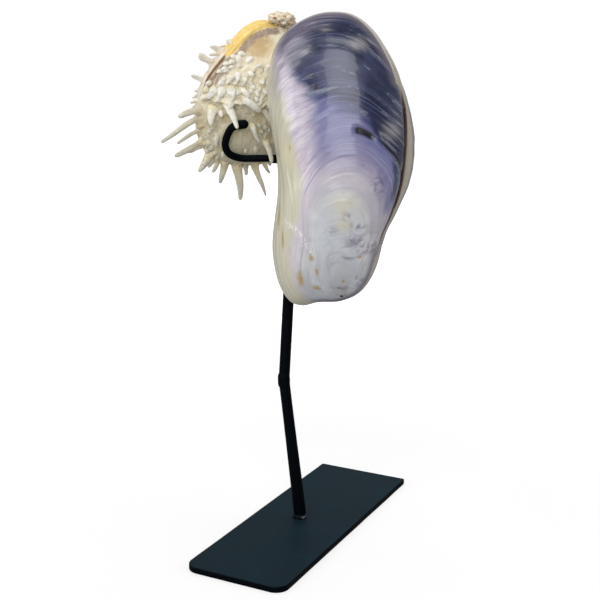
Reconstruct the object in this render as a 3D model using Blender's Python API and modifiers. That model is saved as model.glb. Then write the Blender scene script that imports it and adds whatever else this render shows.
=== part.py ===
"""A spiny oyster that grew on a closed mussel, held by two prongs on a bent steel stand.

Metres, +Z up. The origin is the middle of the base plate's underside, and the plate's
long side runs along Y. The seven outlines and routes below are listed in millimetres.
"""

import math
import random

import bmesh
import bpy
import numpy as np
from mathutils import Matrix, Vector, noise

MM = 0.001
GAP = 0.0003                      # clear space left between neighbouring pieces

# Stand
PLATE_SIZE = (0.0508, 0.150, 0.003)
PLATE_CORNER = 0.004
WORN_CORNER = 0.0085             # the corner at -X, -Y is rubbed rounder than the others
PLATE_EDGE = 0.0004
POST_RADIUS = 0.0027
PRONG_RADIUS = 0.00172
POST_FOOT = (-2.6, -0.9)          # where the post's axis meets the plate, seen from above
POST_KNEE = (-10.7, -5.2, 75.0)   # where the two rods are welded end to end
POST_TOP = (-7.2, -3.5, 186.0)
FOOT_WELD_HEIGHT = 0.0016
KNEE_WELD_HEIGHT = 0.0062
KNEE_WELD_RADIUS = 0.0030

# Mussel: its frame has X towards the hinge side, Y up and Z out of the right valve
MUSSEL_PLACE = (0.0218, -0.0176, 0.1898)
MUSSEL_TURN = math.radians(8)
MUSSEL_DEPTH = 0.0235             # how far one valve bulges from the plane where the two meet
MUSSEL_WALL = 0.0028
MUSSEL_MIDDLE = (0.0, -4.0)
MUSSEL_SHOULDERS = (0.0022, 0.0046)   # how far each valve swells past the hinge, right and left
MUSSEL_OUTLINE = [
    (-6, 59.2), (-15.5, 57.3), (-24.5, 52.5), (-30.6, 45), (-33.3, 34), (-33.4, 22), (-31.2, 9),
    (-28.4, -6), (-27.7, -19), (-29.2, -33), (-30.2, -47), (-27.6, -61), (-22.5, -70), (-16, -72.4),
    (-8, -70.2), (2.5, -68.8), (11.5, -63.8), (17.2, -53.4), (19.9, -39), (23.9, -28), (27.3, -15),
    (28.6, 0), (28.6, 13), (26.4, 25), (21.2, 38), (12.9, 50.4), (4, 57.4),
]
LIGAMENT_RADIUS = 0.0009
LIGAMENT_RUN = (0.715, 0.84)      # the stretch of the outline that the ligament follows

# Oyster: its frame has X away from the viewer's left, Y up and Z out of the cemented valve
OYSTER_PLACE = (-0.0289, -0.0072, 0.2128)
OYSTER_TURN = math.radians(54)
OYSTER_LEAN = math.radians(10)
CEMENTED_DEPTH = 0.0165
FREE_DEPTH = 0.0175
OYSTER_WALL = 0.0030
OYSTER_MIDDLE = (1.5, -1.0)
OYSTER_BEAK = (7.0, 29.0)         # growth starts here, just inside the hinge
OYSTER_OUTLINE = [
    (5.6, 33), (-1, 31), (-9, 24.6), (-16.5, 17.5), (-23, 9), (-26.8, -1.5), (-27.4, -12.5), (-24.5, -23),
    (-18, -30.4), (-9, -33.7), (1, -34.2), (11, -32.6), (19.5, -27), (26, -18), (29.2, -7),
    (29.4, 5), (26.4, 16), (20.6, 25.5), (13.5, 31.8),
]
GROWTH_STAGES = (0.0, 0.16, 0.30, 0.42, 0.52, 0.575, 0.60, 0.70, 0.80, 0.88, 0.94, 0.98, 1.0)
LEDGE_STAGE = 0.59                # the growth stage where the shell stopped and then went on lower
LEDGE_CREST = (-12.0, -0.7)       # the ledge's highest point, and how fast it falls to both sides
LEDGE_FALL = 0.010
LEDGE_DROP = 0.0030
LEDGE_LIP = 0.0008
LEDGE_SHARE_MAX = 0.90
HOLLOW_PLACE = (-3.0, 24.5)
HOLLOW_REACH = (8.0, 6.5)
HOLLOW_DEPTH = 0.0042

# Spines: where each one starts (across, up) and where its tip is (across, up, out)
CEMENTED_SPINES = [
    ((-27.5, -8), (-36.5, -10, 3)), ((-26.5, -14), (-44, -21.5, 4)), ((-26, -18), (-35.4, -22, 2.5)),
    ((-24.5, -21.5), (-37, -27.6, 4)), ((-20, -28), (-25.6, -36, 3)), ((-12, -32.5), (-14, -41.8, 2.5)),
    ((-4.5, -33.5), (-2.2, -50.6, 3)), ((1, -33.5), (0.7, -38.5, 2.5)), ((6, -33), (11.4, -48.6, 4)),
    ((10.5, -32), (12.4, -37.6, 3)), ((-17.5, -2), (-14.6, -12.1, 17.8)), ((-9, -0.5), (-4.1, -3.7, 18.2)),
    ((-24, -4), (-27.5, -10, 14)), ((-20, 11), (-23.5, 9, 17)), ((-14, 14), (-17, 12, 19)),
    ((-6, 13), (-7.5, 9.5, 19)), ((-1, 16), (0.4, 14.6, 17.6)), ((-10, 5), (-12, 0.6, 20)),
    ((-4, 5), (-5, 1.2, 18.6)), ((16, -28), (19.5, -36, 3)), ((23, -20), (31, -24, 3)),
    ((27.5, -10), (37, -13, 2.5)), ((28.5, 2), (35.5, 3, 3)),
]
FREE_SPINES = [
    ((-20, 13), (-27.8, 18.4, -4)), ((-15.5, 18), (-24, 22.8, -4.6)), ((-11, 23), (-15.6, 26.4, -5)),
    ((-25, 6), (-31, 8.4, -3)), ((-27, -4), (-34, -4.6, -4)), ((-22, -25), (-31, -33, -4)),
    ((-14, -31), (-18.4, -42, -3.4)), ((2, -33.5), (4.6, -44.5, -3)), ((13, -31), (18.6, -41, -4)),
    ((22, -22), (30, -25.5, -4)), ((28, -8), (36.5, -10, -4)), ((28.5, 6), (36, 8.5, -4)),
]
# Rows of short spines: growth stage, how many, and the stretch of the margin that they face
FREE_ROWS = ((0.42, 4, 0.13, 0.75), (0.62, 6, 0.13, 0.75), (0.82, 7, 0.13, 0.75))
CEMENTED_ROWS = ((0.36, 4, 0.20, 0.50), (0.50, 4, 0.20, 0.44), (0.72, 4, 0.40, 0.62))
SPINE_BASE = 0.0019
SPINE_TIP = 0.0006

# The lump of crust between the two shells at the hinge
CRUST_PLACE = (10.9, 36.4, 2.4)
CRUST_SIZE = (0.0074, 0.0032, 0.0064)

# Prongs, each from the post's top to its own tip
FRONT_PRONG = [
    (-9.0, -6.0, 184.0), (-16.0, -10.0, 183.8), (-23.0, -14.1, 183.6), (-29.3, -18.0, 183.7),
    (-32.6, -22.2, 185.7), (-33.2, -25.0, 189.3), (-31.9, -26.3, 193.2), (-29.6, -26.7, 197.2),
    (-27.4, -25.7, 199.0), (-24.3, -23.5, 199.7),
]
REAR_PRONG = [
    (-7.3, -0.4, 183.2), (-10.1, 8.0, 182.2), (-15.0, 15.6, 181.5), (-21.6, 20.2, 180.9),
    (-29.7, 20.6, 180.4), (-37.5, 18.0, 181.0), (-43.0, 14.5, 183.5), (-46.0, 11.5, 188.0),
    (-46.5, 9.5, 193.0),
]
PRONG_TIP_SWELL = 1.24            # the paint gathers into a blunt drop at a prong's end


def clear_scene():
    for old in list(bpy.data.objects):
        bpy.data.objects.remove(old, do_unlink=True)


def in_mm(points):
    return [Vector(p) * MM for p in points]


def material(name, colour, roughness, metallic=0.0):
    made = bpy.data.materials.new(name)
    made.use_nodes = True
    shader = made.node_tree.nodes["Principled BSDF"]
    shader.inputs["Base Color"].default_value = (*colour, 1.0)
    shader.inputs["Roughness"].default_value = roughness
    shader.inputs["Metallic"].default_value = metallic
    return made


def add_object(name, data, finish, collection):
    piece = bpy.data.objects.new(name, data)
    piece.data.materials.append(finish)
    collection.objects.link(piece)
    return piece


def mesh_piece(name, shape, finish, collection, place=Matrix.Identity(4)):
    """Turns a bmesh into a named object, shaded smooth but for its sharp edges."""
    mesh = bpy.data.meshes.new(name)
    shape.to_mesh(mesh)
    shape.free()
    mesh.shade_smooth()
    mesh.set_sharp_from_angle(angle=math.radians(38))
    piece = add_object(name, mesh, finish, collection)
    piece.matrix_world = place
    return piece


def shell_frame(place, turn, lean=0.0):
    """A shell's own axes: X across it, Y up it, Z out of its near valve."""
    across = Vector((math.cos(turn), math.sin(turn), 0))
    out = Vector((math.sin(turn), -math.cos(turn), 0))
    up = Vector((0, 0, 1))
    near = out * math.cos(lean) - up * math.sin(lean)
    tall = up * math.cos(lean) + out * math.sin(lean)
    return Matrix.Translation(place) @ Matrix((across, tall, near)).transposed().to_4x4()


def smooth_point(points, share, closed=True):
    """The point a share of the way along a smooth curve through the points."""
    count = len(points)
    place = share % 1 * count if closed else min(max(share, 0), 1) * (count - 1)
    start = int(place)
    t = place - start
    near = []
    for step in (-1, 0, 1, 2):
        i = (start + step) % count if closed else min(max(start + step, 0), count - 1)
        near.append(points[i])
    a, b, c, d = near
    bend = (c - a) * t + (a * 2 - b * 5 + c * 4 - d) * t**2 + (b * 3 - a - c * 3 + d) * t**3
    return b + bend * 0.5


class ValveShape:
    """One valve's outer surface over the flat plane where the two valves meet.

    A growth stage of 0 is the pole and 1 is the margin, and a share goes round the margin.
    """

    def __init__(self, outline, middle, pole, depth, fullness=(2.3, 2.0)):
        self.outline = in_mm(outline)
        self.middle = Vector(middle) * MM
        self.pole = Vector(pole) * MM
        self.depth = depth
        self.fullness = fullness
        reaches = []
        for i in range(360):
            arm = smooth_point(self.outline, i / 360) - self.middle
            reaches.append((math.atan2(arm.y, arm.x), arm.length))
        reaches.sort()
        self.angles, self.lengths = np.array(reaches).T

    def flat_point(self, stage, share):
        margin = smooth_point(self.outline, share)
        return self.pole + (margin - self.pole) * stage

    def reach(self, arm):
        return float(np.interp(math.atan2(arm.y, arm.x), self.angles, self.lengths, period=2 * math.pi))

    def dome(self, flat):
        """Height of the plain dome over a point of the flat plane."""
        arm = flat - self.middle
        ratio = min(arm.length / self.reach(arm), 1.0)
        across, out = self.fullness
        return self.depth * (1 - ratio**across) ** (1 / out)

    def outer(self, stage, share):
        flat = self.flat_point(stage, share)
        return Vector((flat.x, flat.y, self.dome(flat)))

    def inner(self, stage, share, wall):
        """The inside follows the outside a wall's thickness further in, and ends flat at the rim."""
        flat = self.flat_point(stage, share)
        arm = flat - self.middle
        height = max(self.outer(stage, share).z - wall, 0)
        flat = self.middle + arm * (1 - wall / self.reach(arm))
        return Vector((flat.x, flat.y, height))


class MusselShape(ValveShape):
    shoulder = 0.0

    def outer(self, stage, share):
        """The dome, with the hinge side swollen outwards over the groove of the ligament."""
        point = super().outer(stage, share)
        climb = math.sin(math.pi * min(point.z / (self.depth * 0.8), 1))
        hinge_side = min(max(point.x, 0) / 0.028, 1) ** 2
        middle_stretch = math.exp(-(((point.y + 0.006) / 0.026) ** 2))
        point.x += self.shoulder * climb * hinge_side * (0.3 + 0.7 * middle_stretch)
        return point


class CementedShape(ValveShape):
    def ledge_share(self, ray):
        """How far along a ray from the beak the growth ledge lies."""
        share = 1.0
        if ray.y > -0.010:
            return LEDGE_SHARE_MAX
        for _ in range(6):
            across = (self.pole.x + ray.x * share) / MM - LEDGE_CREST[0]
            height = (LEDGE_CREST[1] - LEDGE_FALL * across**2) * MM
            share = (height - self.pole.y) / ray.y
        return min(share, LEDGE_SHARE_MAX)

    def flat_point(self, stage, share):
        """Rings scale with the old margin up to the ledge, and then spread to the last margin."""
        ray = smooth_point(self.outline, share) - self.pole
        ledge = self.ledge_share(ray)
        if stage < LEDGE_STAGE:
            return self.pole + ray * ledge * stage / LEDGE_STAGE
        return self.pole + ray * (ledge + (1 - ledge) * (stage - LEDGE_STAGE) / (1 - LEDGE_STAGE))

    def outer(self, stage, share):
        """The dome, dropping at the growth ledge and hollowed where it faced the mussel."""
        point = super().outer(stage, share)
        inside = min(point.z / (0.35 * self.depth), 1)
        below = min(max(-point.y / MM + 12, 0) / 8, 1)
        if stage > LEDGE_STAGE:
            point.z -= LEDGE_DROP * inside * below
        elif stage > LEDGE_STAGE * 0.95:
            point.z += LEDGE_LIP * below
        across = (point.x / MM - HOLLOW_PLACE[0]) / HOLLOW_REACH[0]
        up = (point.y / MM - HOLLOW_PLACE[1]) / HOLLOW_REACH[1]
        point.z -= HOLLOW_DEPTH * inside * math.exp(-(across**2) - up**2)
        return point


class FreeShape(ValveShape):
    def outer(self, stage, share):
        """The dome with a swollen beak, so it shows over the other valve near the hinge."""
        point = super().outer(stage, share)
        to_beak = (point.xy - self.pole.xy).length / 0.020
        climb = math.sin(math.pi * min(point.z / (self.depth * 1.1), 1))
        swell = 0.0042 * math.exp(-(to_beak**2)) * climb
        point.x -= swell * 0.8
        point.y += swell
        return point


def even_stages(count):
    """Rings that crowd towards the margin, where the dome is steep."""
    return [math.sin(math.pi / 2 * i / count) for i in range(count + 1)]


def valve(shape, stages, around, wall, lift, side=1):
    """A ball whose lower half is folded up inside the upper half, which makes a bowl.

    side is 1 for a valve on the near side of the flat plane and -1 for one behind it.
    """
    rings = len(stages) - 1
    body = bmesh.new()
    bmesh.ops.create_uvsphere(body, u_segments=around, v_segments=2 * rings, radius=1)
    for vertex in body.verts:
        ring = round(math.acos(max(-1, min(1, vertex.co.z))) / math.pi * 2 * rings)
        share = math.atan2(vertex.co.y, vertex.co.x) / (2 * math.pi) + 0.5
        if ring <= rings:
            place = shape.outer(stages[ring], share)
        else:
            place = shape.inner(stages[-1 - round((ring - rings - 1) / (rings - 1) * rings)], share, wall)
        vertex.co = Vector((place.x, place.y, side * (place.z + lift)))
    body.faces.layers.int.new("taken")
    if body.calc_volume(signed=True) < 0:
        bmesh.ops.reverse_faces(body, faces=body.faces)
    body.normal_update()
    return body


def grow_spine(body, root, tip, steps=3):
    """Draws the nearest free outer face out into a bent, tapering spine that ends at tip."""
    taken = body.faces.layers.int["taken"]
    side = 1 if tip.z > 0 else -1
    free = []
    for face in body.faces:
        centre = face.calc_center_median()
        outside = side * face.normal.z > -0.05 and side * centre.z > 0.0006
        if outside and len(face.verts) == 4 and not face[taken]:
            free.append((centre, face))
    start, face = min(free, key=lambda pair: (pair[0].xy - root.xy).length)
    for edge in face.edges:
        for neighbour in edge.link_faces:
            neighbour[taken] = 1
    length = (tip - start).length
    knee = start + face.normal * 0.35 * length
    arms = [v.co - start for v in face.verts]
    for step in range(1, steps + 1):
        t = step / steps
        here = start * (1 - t) ** 2 + knee * 2 * t * (1 - t) + tip * t**2
        along = ((knee - start) * (1 - t) + (tip - knee) * t).normalized()
        radius = SPINE_BASE + (SPINE_TIP - SPINE_BASE) * t
        face = bmesh.ops.extrude_discrete_faces(body, faces=[face])["faces"][0]
        for vertex, arm in zip(face.verts, arms):
            flat = arm - along * arm.dot(along)
            vertex.co = here + flat.normalized() * radius


def rod(name, points, radius, finish, collection, swell=1.0, per_span=3):
    """A round bar along a smooth route, with its far end swollen into a blunt drop."""
    route = in_mm(points)
    count = (len(route) - 1) * per_span
    curve = bpy.data.curves.new(name, "CURVE")
    curve.dimensions = "3D"
    curve.bevel_depth = radius
    curve.bevel_resolution = 2
    curve.use_fill_caps = True
    spline = curve.splines.new("POLY")
    spline.points.add(count)
    for i, point in enumerate(spline.points):
        point.co = (*smooth_point(route, i / count, closed=False), 1)
        from_end = count - i
        if swell > 1 and from_end <= 2:
            point.radius = (0.72, swell, swell)[from_end]
    return add_object(name, curve, finish, collection)


def turned(name, profile, finish, collection, place):
    """A profile listed down its outer side, spun round its own axis."""
    mesh = bpy.data.meshes.new(name)
    count = len(profile)
    mesh.from_pydata([(r, 0, z) for r, z in profile], [(i, i + 1) for i in range(count - 1)], [])
    piece = add_object(name, mesh, finish, collection)
    piece.matrix_world = place
    screw = piece.modifiers.new("Turned", "SCREW")
    screw.steps = 20
    screw.render_steps = 20
    screw.use_merge_vertices = True
    screw.merge_threshold = 0.00001
    screw.use_smooth_shade = True
    return piece


def make_plate(steel, collection):
    plate = bmesh.new()
    bmesh.ops.create_cube(plate, size=1)
    bmesh.ops.scale(plate, vec=PLATE_SIZE, verts=plate.verts)
    bmesh.ops.translate(plate, vec=(0, 0, PLATE_SIZE[2] / 2), verts=plate.verts)
    upright = [e for e in plate.edges if abs(e.verts[0].co.z - e.verts[1].co.z) > PLATE_SIZE[2] / 2]
    worn = [e for e in upright if e.verts[0].co.x < 0 and e.verts[0].co.y < 0]
    sound = [e for e in upright if e not in worn]
    for edges, radius in ((worn, WORN_CORNER), (sound, PLATE_CORNER)):
        bmesh.ops.bevel(plate, geom=edges, offset=radius, segments=4, affect="EDGES", profile=0.5)
    piece = mesh_piece("base_plate", plate, steel, collection)
    edge = piece.modifiers.new("Rolled edge", "BEVEL")
    edge.width = PLATE_EDGE
    edge.segments = 2
    edge.limit_method = "ANGLE"
    edge.angle_limit = math.radians(60)
    return piece


def make_stand(steel, collection):
    """Plate, foot weld, two post rods welded end to end at the knee, and two prongs."""
    make_plate(steel, collection)
    top = PLATE_SIZE[2] + GAP
    wide = POST_RADIUS * 1.6
    height = FOOT_WELD_HEIGHT
    foot = [(0, height), (POST_RADIUS, height), (POST_RADIUS * 1.2, height * 0.5), (wide, 0.0), (0, 0)]
    foot_place = Matrix.Translation((POST_FOOT[0] * MM, POST_FOOT[1] * MM, top))
    turned("base_weld", foot, steel, collection, foot_place)

    knee = Vector(POST_KNEE)
    start = Vector((*POST_FOOT, (top + height + GAP) / MM))
    end = Vector(POST_TOP)
    half = (KNEE_WELD_HEIGHT / 2 + GAP) / MM
    lower = (knee - start).normalized()
    upper = (end - knee).normalized()
    rod("lower_post", [start, knee - lower * half], POST_RADIUS, steel, collection)
    rod("upper_post", [knee + upper * half, end], POST_RADIUS, steel, collection)
    tall = KNEE_WELD_HEIGHT / 2
    full = KNEE_WELD_RADIUS
    knuckle = [(0, tall), (POST_RADIUS, tall), (full, tall * 0.35), (full, -tall * 0.35),
               (POST_RADIUS, -tall), (0, -tall)]
    lean = (lower + upper).to_track_quat("Z", "Y").to_matrix().to_4x4()
    turned("post_weld", knuckle, steel, collection, Matrix.Translation(knee * MM) @ lean)

    rod("front_prong", FRONT_PRONG, PRONG_RADIUS, steel, collection, PRONG_TIP_SWELL)
    rod("rear_prong", REAR_PRONG, PRONG_RADIUS, steel, collection, PRONG_TIP_SWELL)


def make_mussel(finish, ligament_finish, collection):
    frame = shell_frame(MUSSEL_PLACE, MUSSEL_TURN)
    shape = MusselShape(MUSSEL_OUTLINE, MUSSEL_MIDDLE, MUSSEL_MIDDLE, MUSSEL_DEPTH)
    for name, side, shoulder in zip(("mussel_right_valve", "mussel_left_valve"), (1, -1), MUSSEL_SHOULDERS):
        shape.shoulder = shoulder
        body = valve(shape, even_stages(10), 40, MUSSEL_WALL, GAP / 2, side)
        mesh_piece(name, body, finish, collection, frame)

    start, end = LIGAMENT_RUN
    out = (LIGAMENT_RADIUS + GAP + 0.0002) / MM
    route = []
    for i in range(9):
        share = start + (end - start) * i / 8
        here = smooth_point(in_mm(MUSSEL_OUTLINE), share) / MM
        ahead = smooth_point(in_mm(MUSSEL_OUTLINE), share + 0.002) / MM
        along = (ahead - here).normalized()
        flat = here + Vector((along.y, -along.x)) * out
        route.append(frame @ (Vector((flat.x, flat.y, 0)) * MM) / MM)
    rod("mussel_ligament", route, LIGAMENT_RADIUS, ligament_finish, collection, per_span=2)


def oyster_valve(shape, side, spines, rows, seed):
    """A valve with the spines that show one by one, and rows of short ones between them."""
    body = valve(shape, GROWTH_STAGES, 36, OYSTER_WALL, GAP / 2, side)
    for root, tip in spines:
        grow_spine(body, Vector((*root, 0)) * MM, Vector(tip) * MM)
    chance = random.Random(seed)
    for stage, count, first, last in rows:
        for i in range(count):
            share = first + (last - first) * (i + 0.5) / count + chance.uniform(-0.02, 0.02)
            root = shape.outer(stage, share)
            root.z *= side
            away = (root.xy - shape.pole).normalized().to_3d() * chance.uniform(0.002, 0.0045)
            rise = Vector((0, 0, side * chance.uniform(0.0025, 0.0045)))
            grow_spine(body, root, root + away + rise)
    return body


def make_oyster(near_finish, far_finish, crust_finish, collection):
    frame = shell_frame(OYSTER_PLACE, OYSTER_TURN, OYSTER_LEAN)
    shape = CementedShape(OYSTER_OUTLINE, OYSTER_MIDDLE, OYSTER_BEAK, CEMENTED_DEPTH)
    near = oyster_valve(shape, 1, CEMENTED_SPINES, CEMENTED_ROWS, 3)
    mesh_piece("oyster_cemented_valve", near, near_finish, collection, frame)
    shape = FreeShape(OYSTER_OUTLINE, OYSTER_MIDDLE, OYSTER_BEAK, FREE_DEPTH, (2.8, 2.0))
    far = oyster_valve(shape, -1, FREE_SPINES, FREE_ROWS, 7)
    mesh_piece("oyster_free_valve", far, far_finish, collection, frame)

    crust = bmesh.new()
    bmesh.ops.create_icosphere(crust, subdivisions=2, radius=1)
    for vertex in crust.verts:
        lump = 1 + 0.22 * noise.noise(vertex.co * 1.9 + Vector((3.1, 0.4, 7.7)))
        vertex.co = Vector([c * s * lump for c, s in zip(vertex.co, CRUST_SIZE)])
    place = frame @ Matrix.Translation(Vector(CRUST_PLACE) * MM)
    mesh_piece("beak_crust", crust, crust_finish, collection, place)


def main():
    clear_scene()
    parts = bpy.data.collections.new("spiny_oyster_shell")
    bpy.context.scene.collection.children.link(parts)
    steel = material("satin black paint", (0.012, 0.013, 0.016), 0.42)
    mussel = material("polished mussel shell", (0.22, 0.20, 0.36), 0.18)
    ligament = material("dried ligament", (0.16, 0.05, 0.06), 0.5)
    near = material("cream spiny shell", (0.74, 0.68, 0.53), 0.5)
    far = material("orange spiny shell", (0.86, 0.60, 0.24), 0.5)
    crust = material("ochre crust", (0.55, 0.40, 0.26), 0.8)
    make_stand(steel, parts)
    make_mussel(mussel, ligament, parts)
    make_oyster(near, far, crust, parts)


main()
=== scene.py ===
# %% [markdown]
# # A spiny oyster on a mussel, held by a bent steel stand
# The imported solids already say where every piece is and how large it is. This lesson dresses them: each
# shell is grown again as a fine mesh from the same outline, each rod is drawn as a smooth curve, and every
# surface gets a finish made of shader nodes. We load the solids first, because nothing may leave their box.

# %% Load the solids
import math
import random

import bmesh
import bpy
import numpy as np
from mathutils import Matrix, Vector, noise


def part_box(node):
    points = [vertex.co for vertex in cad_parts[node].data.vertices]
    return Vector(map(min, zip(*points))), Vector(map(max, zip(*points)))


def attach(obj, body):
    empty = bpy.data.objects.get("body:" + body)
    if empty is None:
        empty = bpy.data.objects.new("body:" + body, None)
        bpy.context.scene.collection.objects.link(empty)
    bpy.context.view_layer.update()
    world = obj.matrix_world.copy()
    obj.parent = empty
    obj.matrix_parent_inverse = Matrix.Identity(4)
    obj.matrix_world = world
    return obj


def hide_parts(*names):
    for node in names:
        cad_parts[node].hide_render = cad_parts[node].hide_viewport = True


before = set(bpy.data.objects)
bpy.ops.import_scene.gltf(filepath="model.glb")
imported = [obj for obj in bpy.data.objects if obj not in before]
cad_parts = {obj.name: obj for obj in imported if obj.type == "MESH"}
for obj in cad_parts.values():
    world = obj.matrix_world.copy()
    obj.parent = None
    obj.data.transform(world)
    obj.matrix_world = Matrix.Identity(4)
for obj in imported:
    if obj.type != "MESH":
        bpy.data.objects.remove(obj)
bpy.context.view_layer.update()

MM = 0.001
GAP = 0.0003                      # clear space between neighbouring pieces
print("solids:", sorted(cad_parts))

# %% [markdown]
# ## Camera
# The picture was taken from a little above, looking along the short way of the plate and slightly turned.
# Blender's camera looks along its own -Z, so three directions (right, up, back) make its rotation matrix.
# Working them out from three angles keeps the numbers readable.

# %% Camera
CAMERA_PLACE = Vector((0.21855, -0.45905, 0.2217))
CAMERA_TURN = math.radians(26.0)
CAMERA_DIP = math.radians(11.8)
CAMERA_ROLL = math.radians(1.095)
CAMERA_LENS = 64.2

level_right = Vector((math.cos(CAMERA_TURN), math.sin(CAMERA_TURN), 0))
level_ahead = Vector((-math.sin(CAMERA_TURN), math.cos(CAMERA_TURN), 0))
view_ahead = level_ahead * math.cos(CAMERA_DIP) - Vector((0, 0, math.sin(CAMERA_DIP)))
view_up = level_ahead * math.sin(CAMERA_DIP) + Vector((0, 0, math.cos(CAMERA_DIP)))
camera_right = level_right * math.cos(CAMERA_ROLL) + view_up * math.sin(CAMERA_ROLL)
camera_up = view_up * math.cos(CAMERA_ROLL) - level_right * math.sin(CAMERA_ROLL)

camera = bpy.data.objects.new("camera", bpy.data.cameras.new("camera"))
camera.data.lens = CAMERA_LENS
turn = Matrix((camera_right, camera_up, -view_ahead)).transposed().to_4x4()
camera.matrix_world = Matrix.Translation(CAMERA_PLACE) @ turn
bpy.context.scene.collection.objects.link(camera)
bpy.context.scene.camera = camera
bpy.context.scene.view_settings.view_transform = "Standard"
print("camera at", tuple(round(c, 3) for c in CAMERA_PLACE))

# %% [markdown]
# ## Helpers for shader nodes
# A finish is a small graph of nodes, and a few helpers keep such graphs short: add places a node and plugs
# its inputs, times and plus do arithmetic, blend mixes two colours, mask turns a value into a soft-edged
# mask, and lay puts one colour over another as far as a mask says. Colours are easier to judge as screen
# values from 0 to 255, so shade turns those into linear light.

# %% Node helpers
def shade(red, green, blue):
    """A screen colour, 0 to 255 each, as the linear colour that shaders use."""
    linear = []
    for value in (red, green, blue):
        c = value / 255
        linear.append(c / 12.92 if c <= 0.04045 else ((c + 0.055) / 1.055) ** 2.4)
    return (*linear, 1.0)


def add(tree, kind, inputs=None, **settings):
    """Adds a shader node. Each input is a value, or another node's output to plug in."""
    node = tree.nodes.new("ShaderNode" + kind)
    for name, value in settings.items():
        setattr(node, name, value)
    for name, value in (inputs or {}).items():
        if isinstance(value, bpy.types.NodeSocket):
            tree.links.new(value, node.inputs[name])
        else:
            node.inputs[name].default_value = value
    return node


def calc(tree, operation, a, b, clamp=False):
    return add(tree, "Math", {0: a, 1: b}, operation=operation, use_clamp=clamp).outputs[0]


def times(tree, a, b, clamp=False):
    return calc(tree, "MULTIPLY", a, b, clamp)


def plus(tree, a, b):
    return calc(tree, "ADD", a, b)


def blend(tree, factor, a, b):
    """Colour a where the factor is 0, turning to b where it is 1."""
    return add(tree, "Mix", {0: factor, 6: a, 7: b}, data_type="RGBA").outputs[2]


def lay(tree, under, over, factor, strength):
    """The colour under, with the colour over laid on it as far as factor times strength says."""
    return blend(tree, times(tree, factor, strength), under, over)


def mask(tree, value, low, high):
    """0 below low, 1 above high, with a soft edge between. low may be the larger one."""
    plugs = {0: value, 1: low, 2: high}
    return add(tree, "MapRange", plugs, interpolation_type="SMOOTHSTEP").outputs[0]


def ramp(tree, value, stops):
    """A colour ramp through (place, colour) pairs."""
    node = add(tree, "ValToRGB", {0: value})
    elements = node.color_ramp.elements
    while len(elements) < len(stops):
        elements.new(0.5)
    for element, (place, colour) in zip(elements, stops):
        element.position = place
        element.color = colour
    return node.outputs[0]


def attribute(tree, name):
    return add(tree, "Attribute", attribute_name=name).outputs["Fac"]


def grain(tree, vector, scale, detail=3.0, roughness=0.55, distortion=0.0):
    plugs = {"Vector": vector, "Scale": scale, "Detail": detail, "Roughness": roughness,
             "Distortion": distortion}
    return add(tree, "TexNoise", plugs).outputs["Fac"]


def new_material(name, roughness, coat=0.0, specular=0.5):
    """A material with one Principled shader, and the shader itself."""
    made = bpy.data.materials.new(name)
    made.use_nodes = True
    shader = made.node_tree.nodes["Principled BSDF"]
    shader.inputs["Roughness"].default_value = roughness
    shader.inputs["Specular IOR Level"].default_value = specular
    shader.inputs["Coat Weight"].default_value = coat
    shader.inputs["Coat Roughness"].default_value = 0.06
    return made, made.node_tree, shader


def raise_surface(tree, shader, height, distance):
    """Feeds a height into a Bump node and that into the shader's Normal."""
    bump = add(tree, "Bump", {"Height": height, "Distance": distance, "Strength": 1.0})
    tree.links.new(bump.outputs["Normal"], shader.inputs["Normal"])


print("a screen grey of 128 is", round(shade(128, 128, 128)[0], 3), "in linear light")

# %% [markdown]
# ## Shared effects
# Three effects come back in several finishes, so each one is a node group. Growth bands are the fine lines
# that a shell lays down as it grows: noise that changes fast from one growth stage to the next and slowly
# along each line. Mottling is a soft cloudy mask. Scratches are thin broken lines in one direction.

# %% Node groups
def new_group(name, inputs, outputs):
    """A node group with named inputs, and outputs that are numbers."""
    group = bpy.data.node_groups.new(name, "ShaderNodeTree")
    for label, kind, value in inputs:
        socket = group.interface.new_socket(label, in_out="INPUT", socket_type="NodeSocket" + kind)
        if value is not None:
            socket.default_value = value
    for label in outputs:
        group.interface.new_socket(label, in_out="OUTPUT", socket_type="NodeSocketFloat")
    return group, group.nodes.new("NodeGroupInput").outputs, group.nodes.new("NodeGroupOutput").inputs


def growth_bands_group():
    group, given, out = new_group(
        "growth bands",
        [("Growth", "Float", 0.0), ("Across", "Float", 0.0), ("Lines", "Float", 40.0),
         ("Length", "Float", 3.0)],
        ["Coarse", "Fine", "Streak", "Line"],
    )
    along = times(group, given["Growth"], given["Lines"])
    side = times(group, given["Across"], given["Length"])
    place = add(group, "CombineXYZ", {"X": along, "Y": side}).outputs[0]
    coarse = grain(group, place, 0.45, 3.0, 0.6, 0.3)
    fine = grain(group, place, 1.9, 4.0, 0.65, 0.15)
    broken = add(group, "CombineXYZ", {"X": along, "Y": times(group, side, 2.6), "Z": 7.3}).outputs[0]
    streak = grain(group, broken, 0.9, 5.0, 0.7, 0.5)
    whole = add(group, "CombineXYZ", {"X": along, "Y": times(group, side, 0.16), "Z": 2.1}).outputs[0]
    line = mask(group, grain(group, whole, 0.8, 2.0, 0.5), 0.57, 0.66)
    for label, value in (("Coarse", coarse), ("Fine", fine), ("Streak", streak), ("Line", line)):
        group.links.new(value, out[label])
    return group


def mottle_group():
    group, given, out = new_group(
        "mottle",
        [("Vector", "Vector", None), ("Scale", "Float", 100.0), ("Low", "Float", 0.45),
         ("High", "Float", 0.6)],
        ["Mask"],
    )
    cloud = grain(group, given["Vector"], given["Scale"], 5.0, 0.6, 0.4)
    group.links.new(mask(group, cloud, given["Low"], given["High"]), out["Mask"])
    return group


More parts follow.
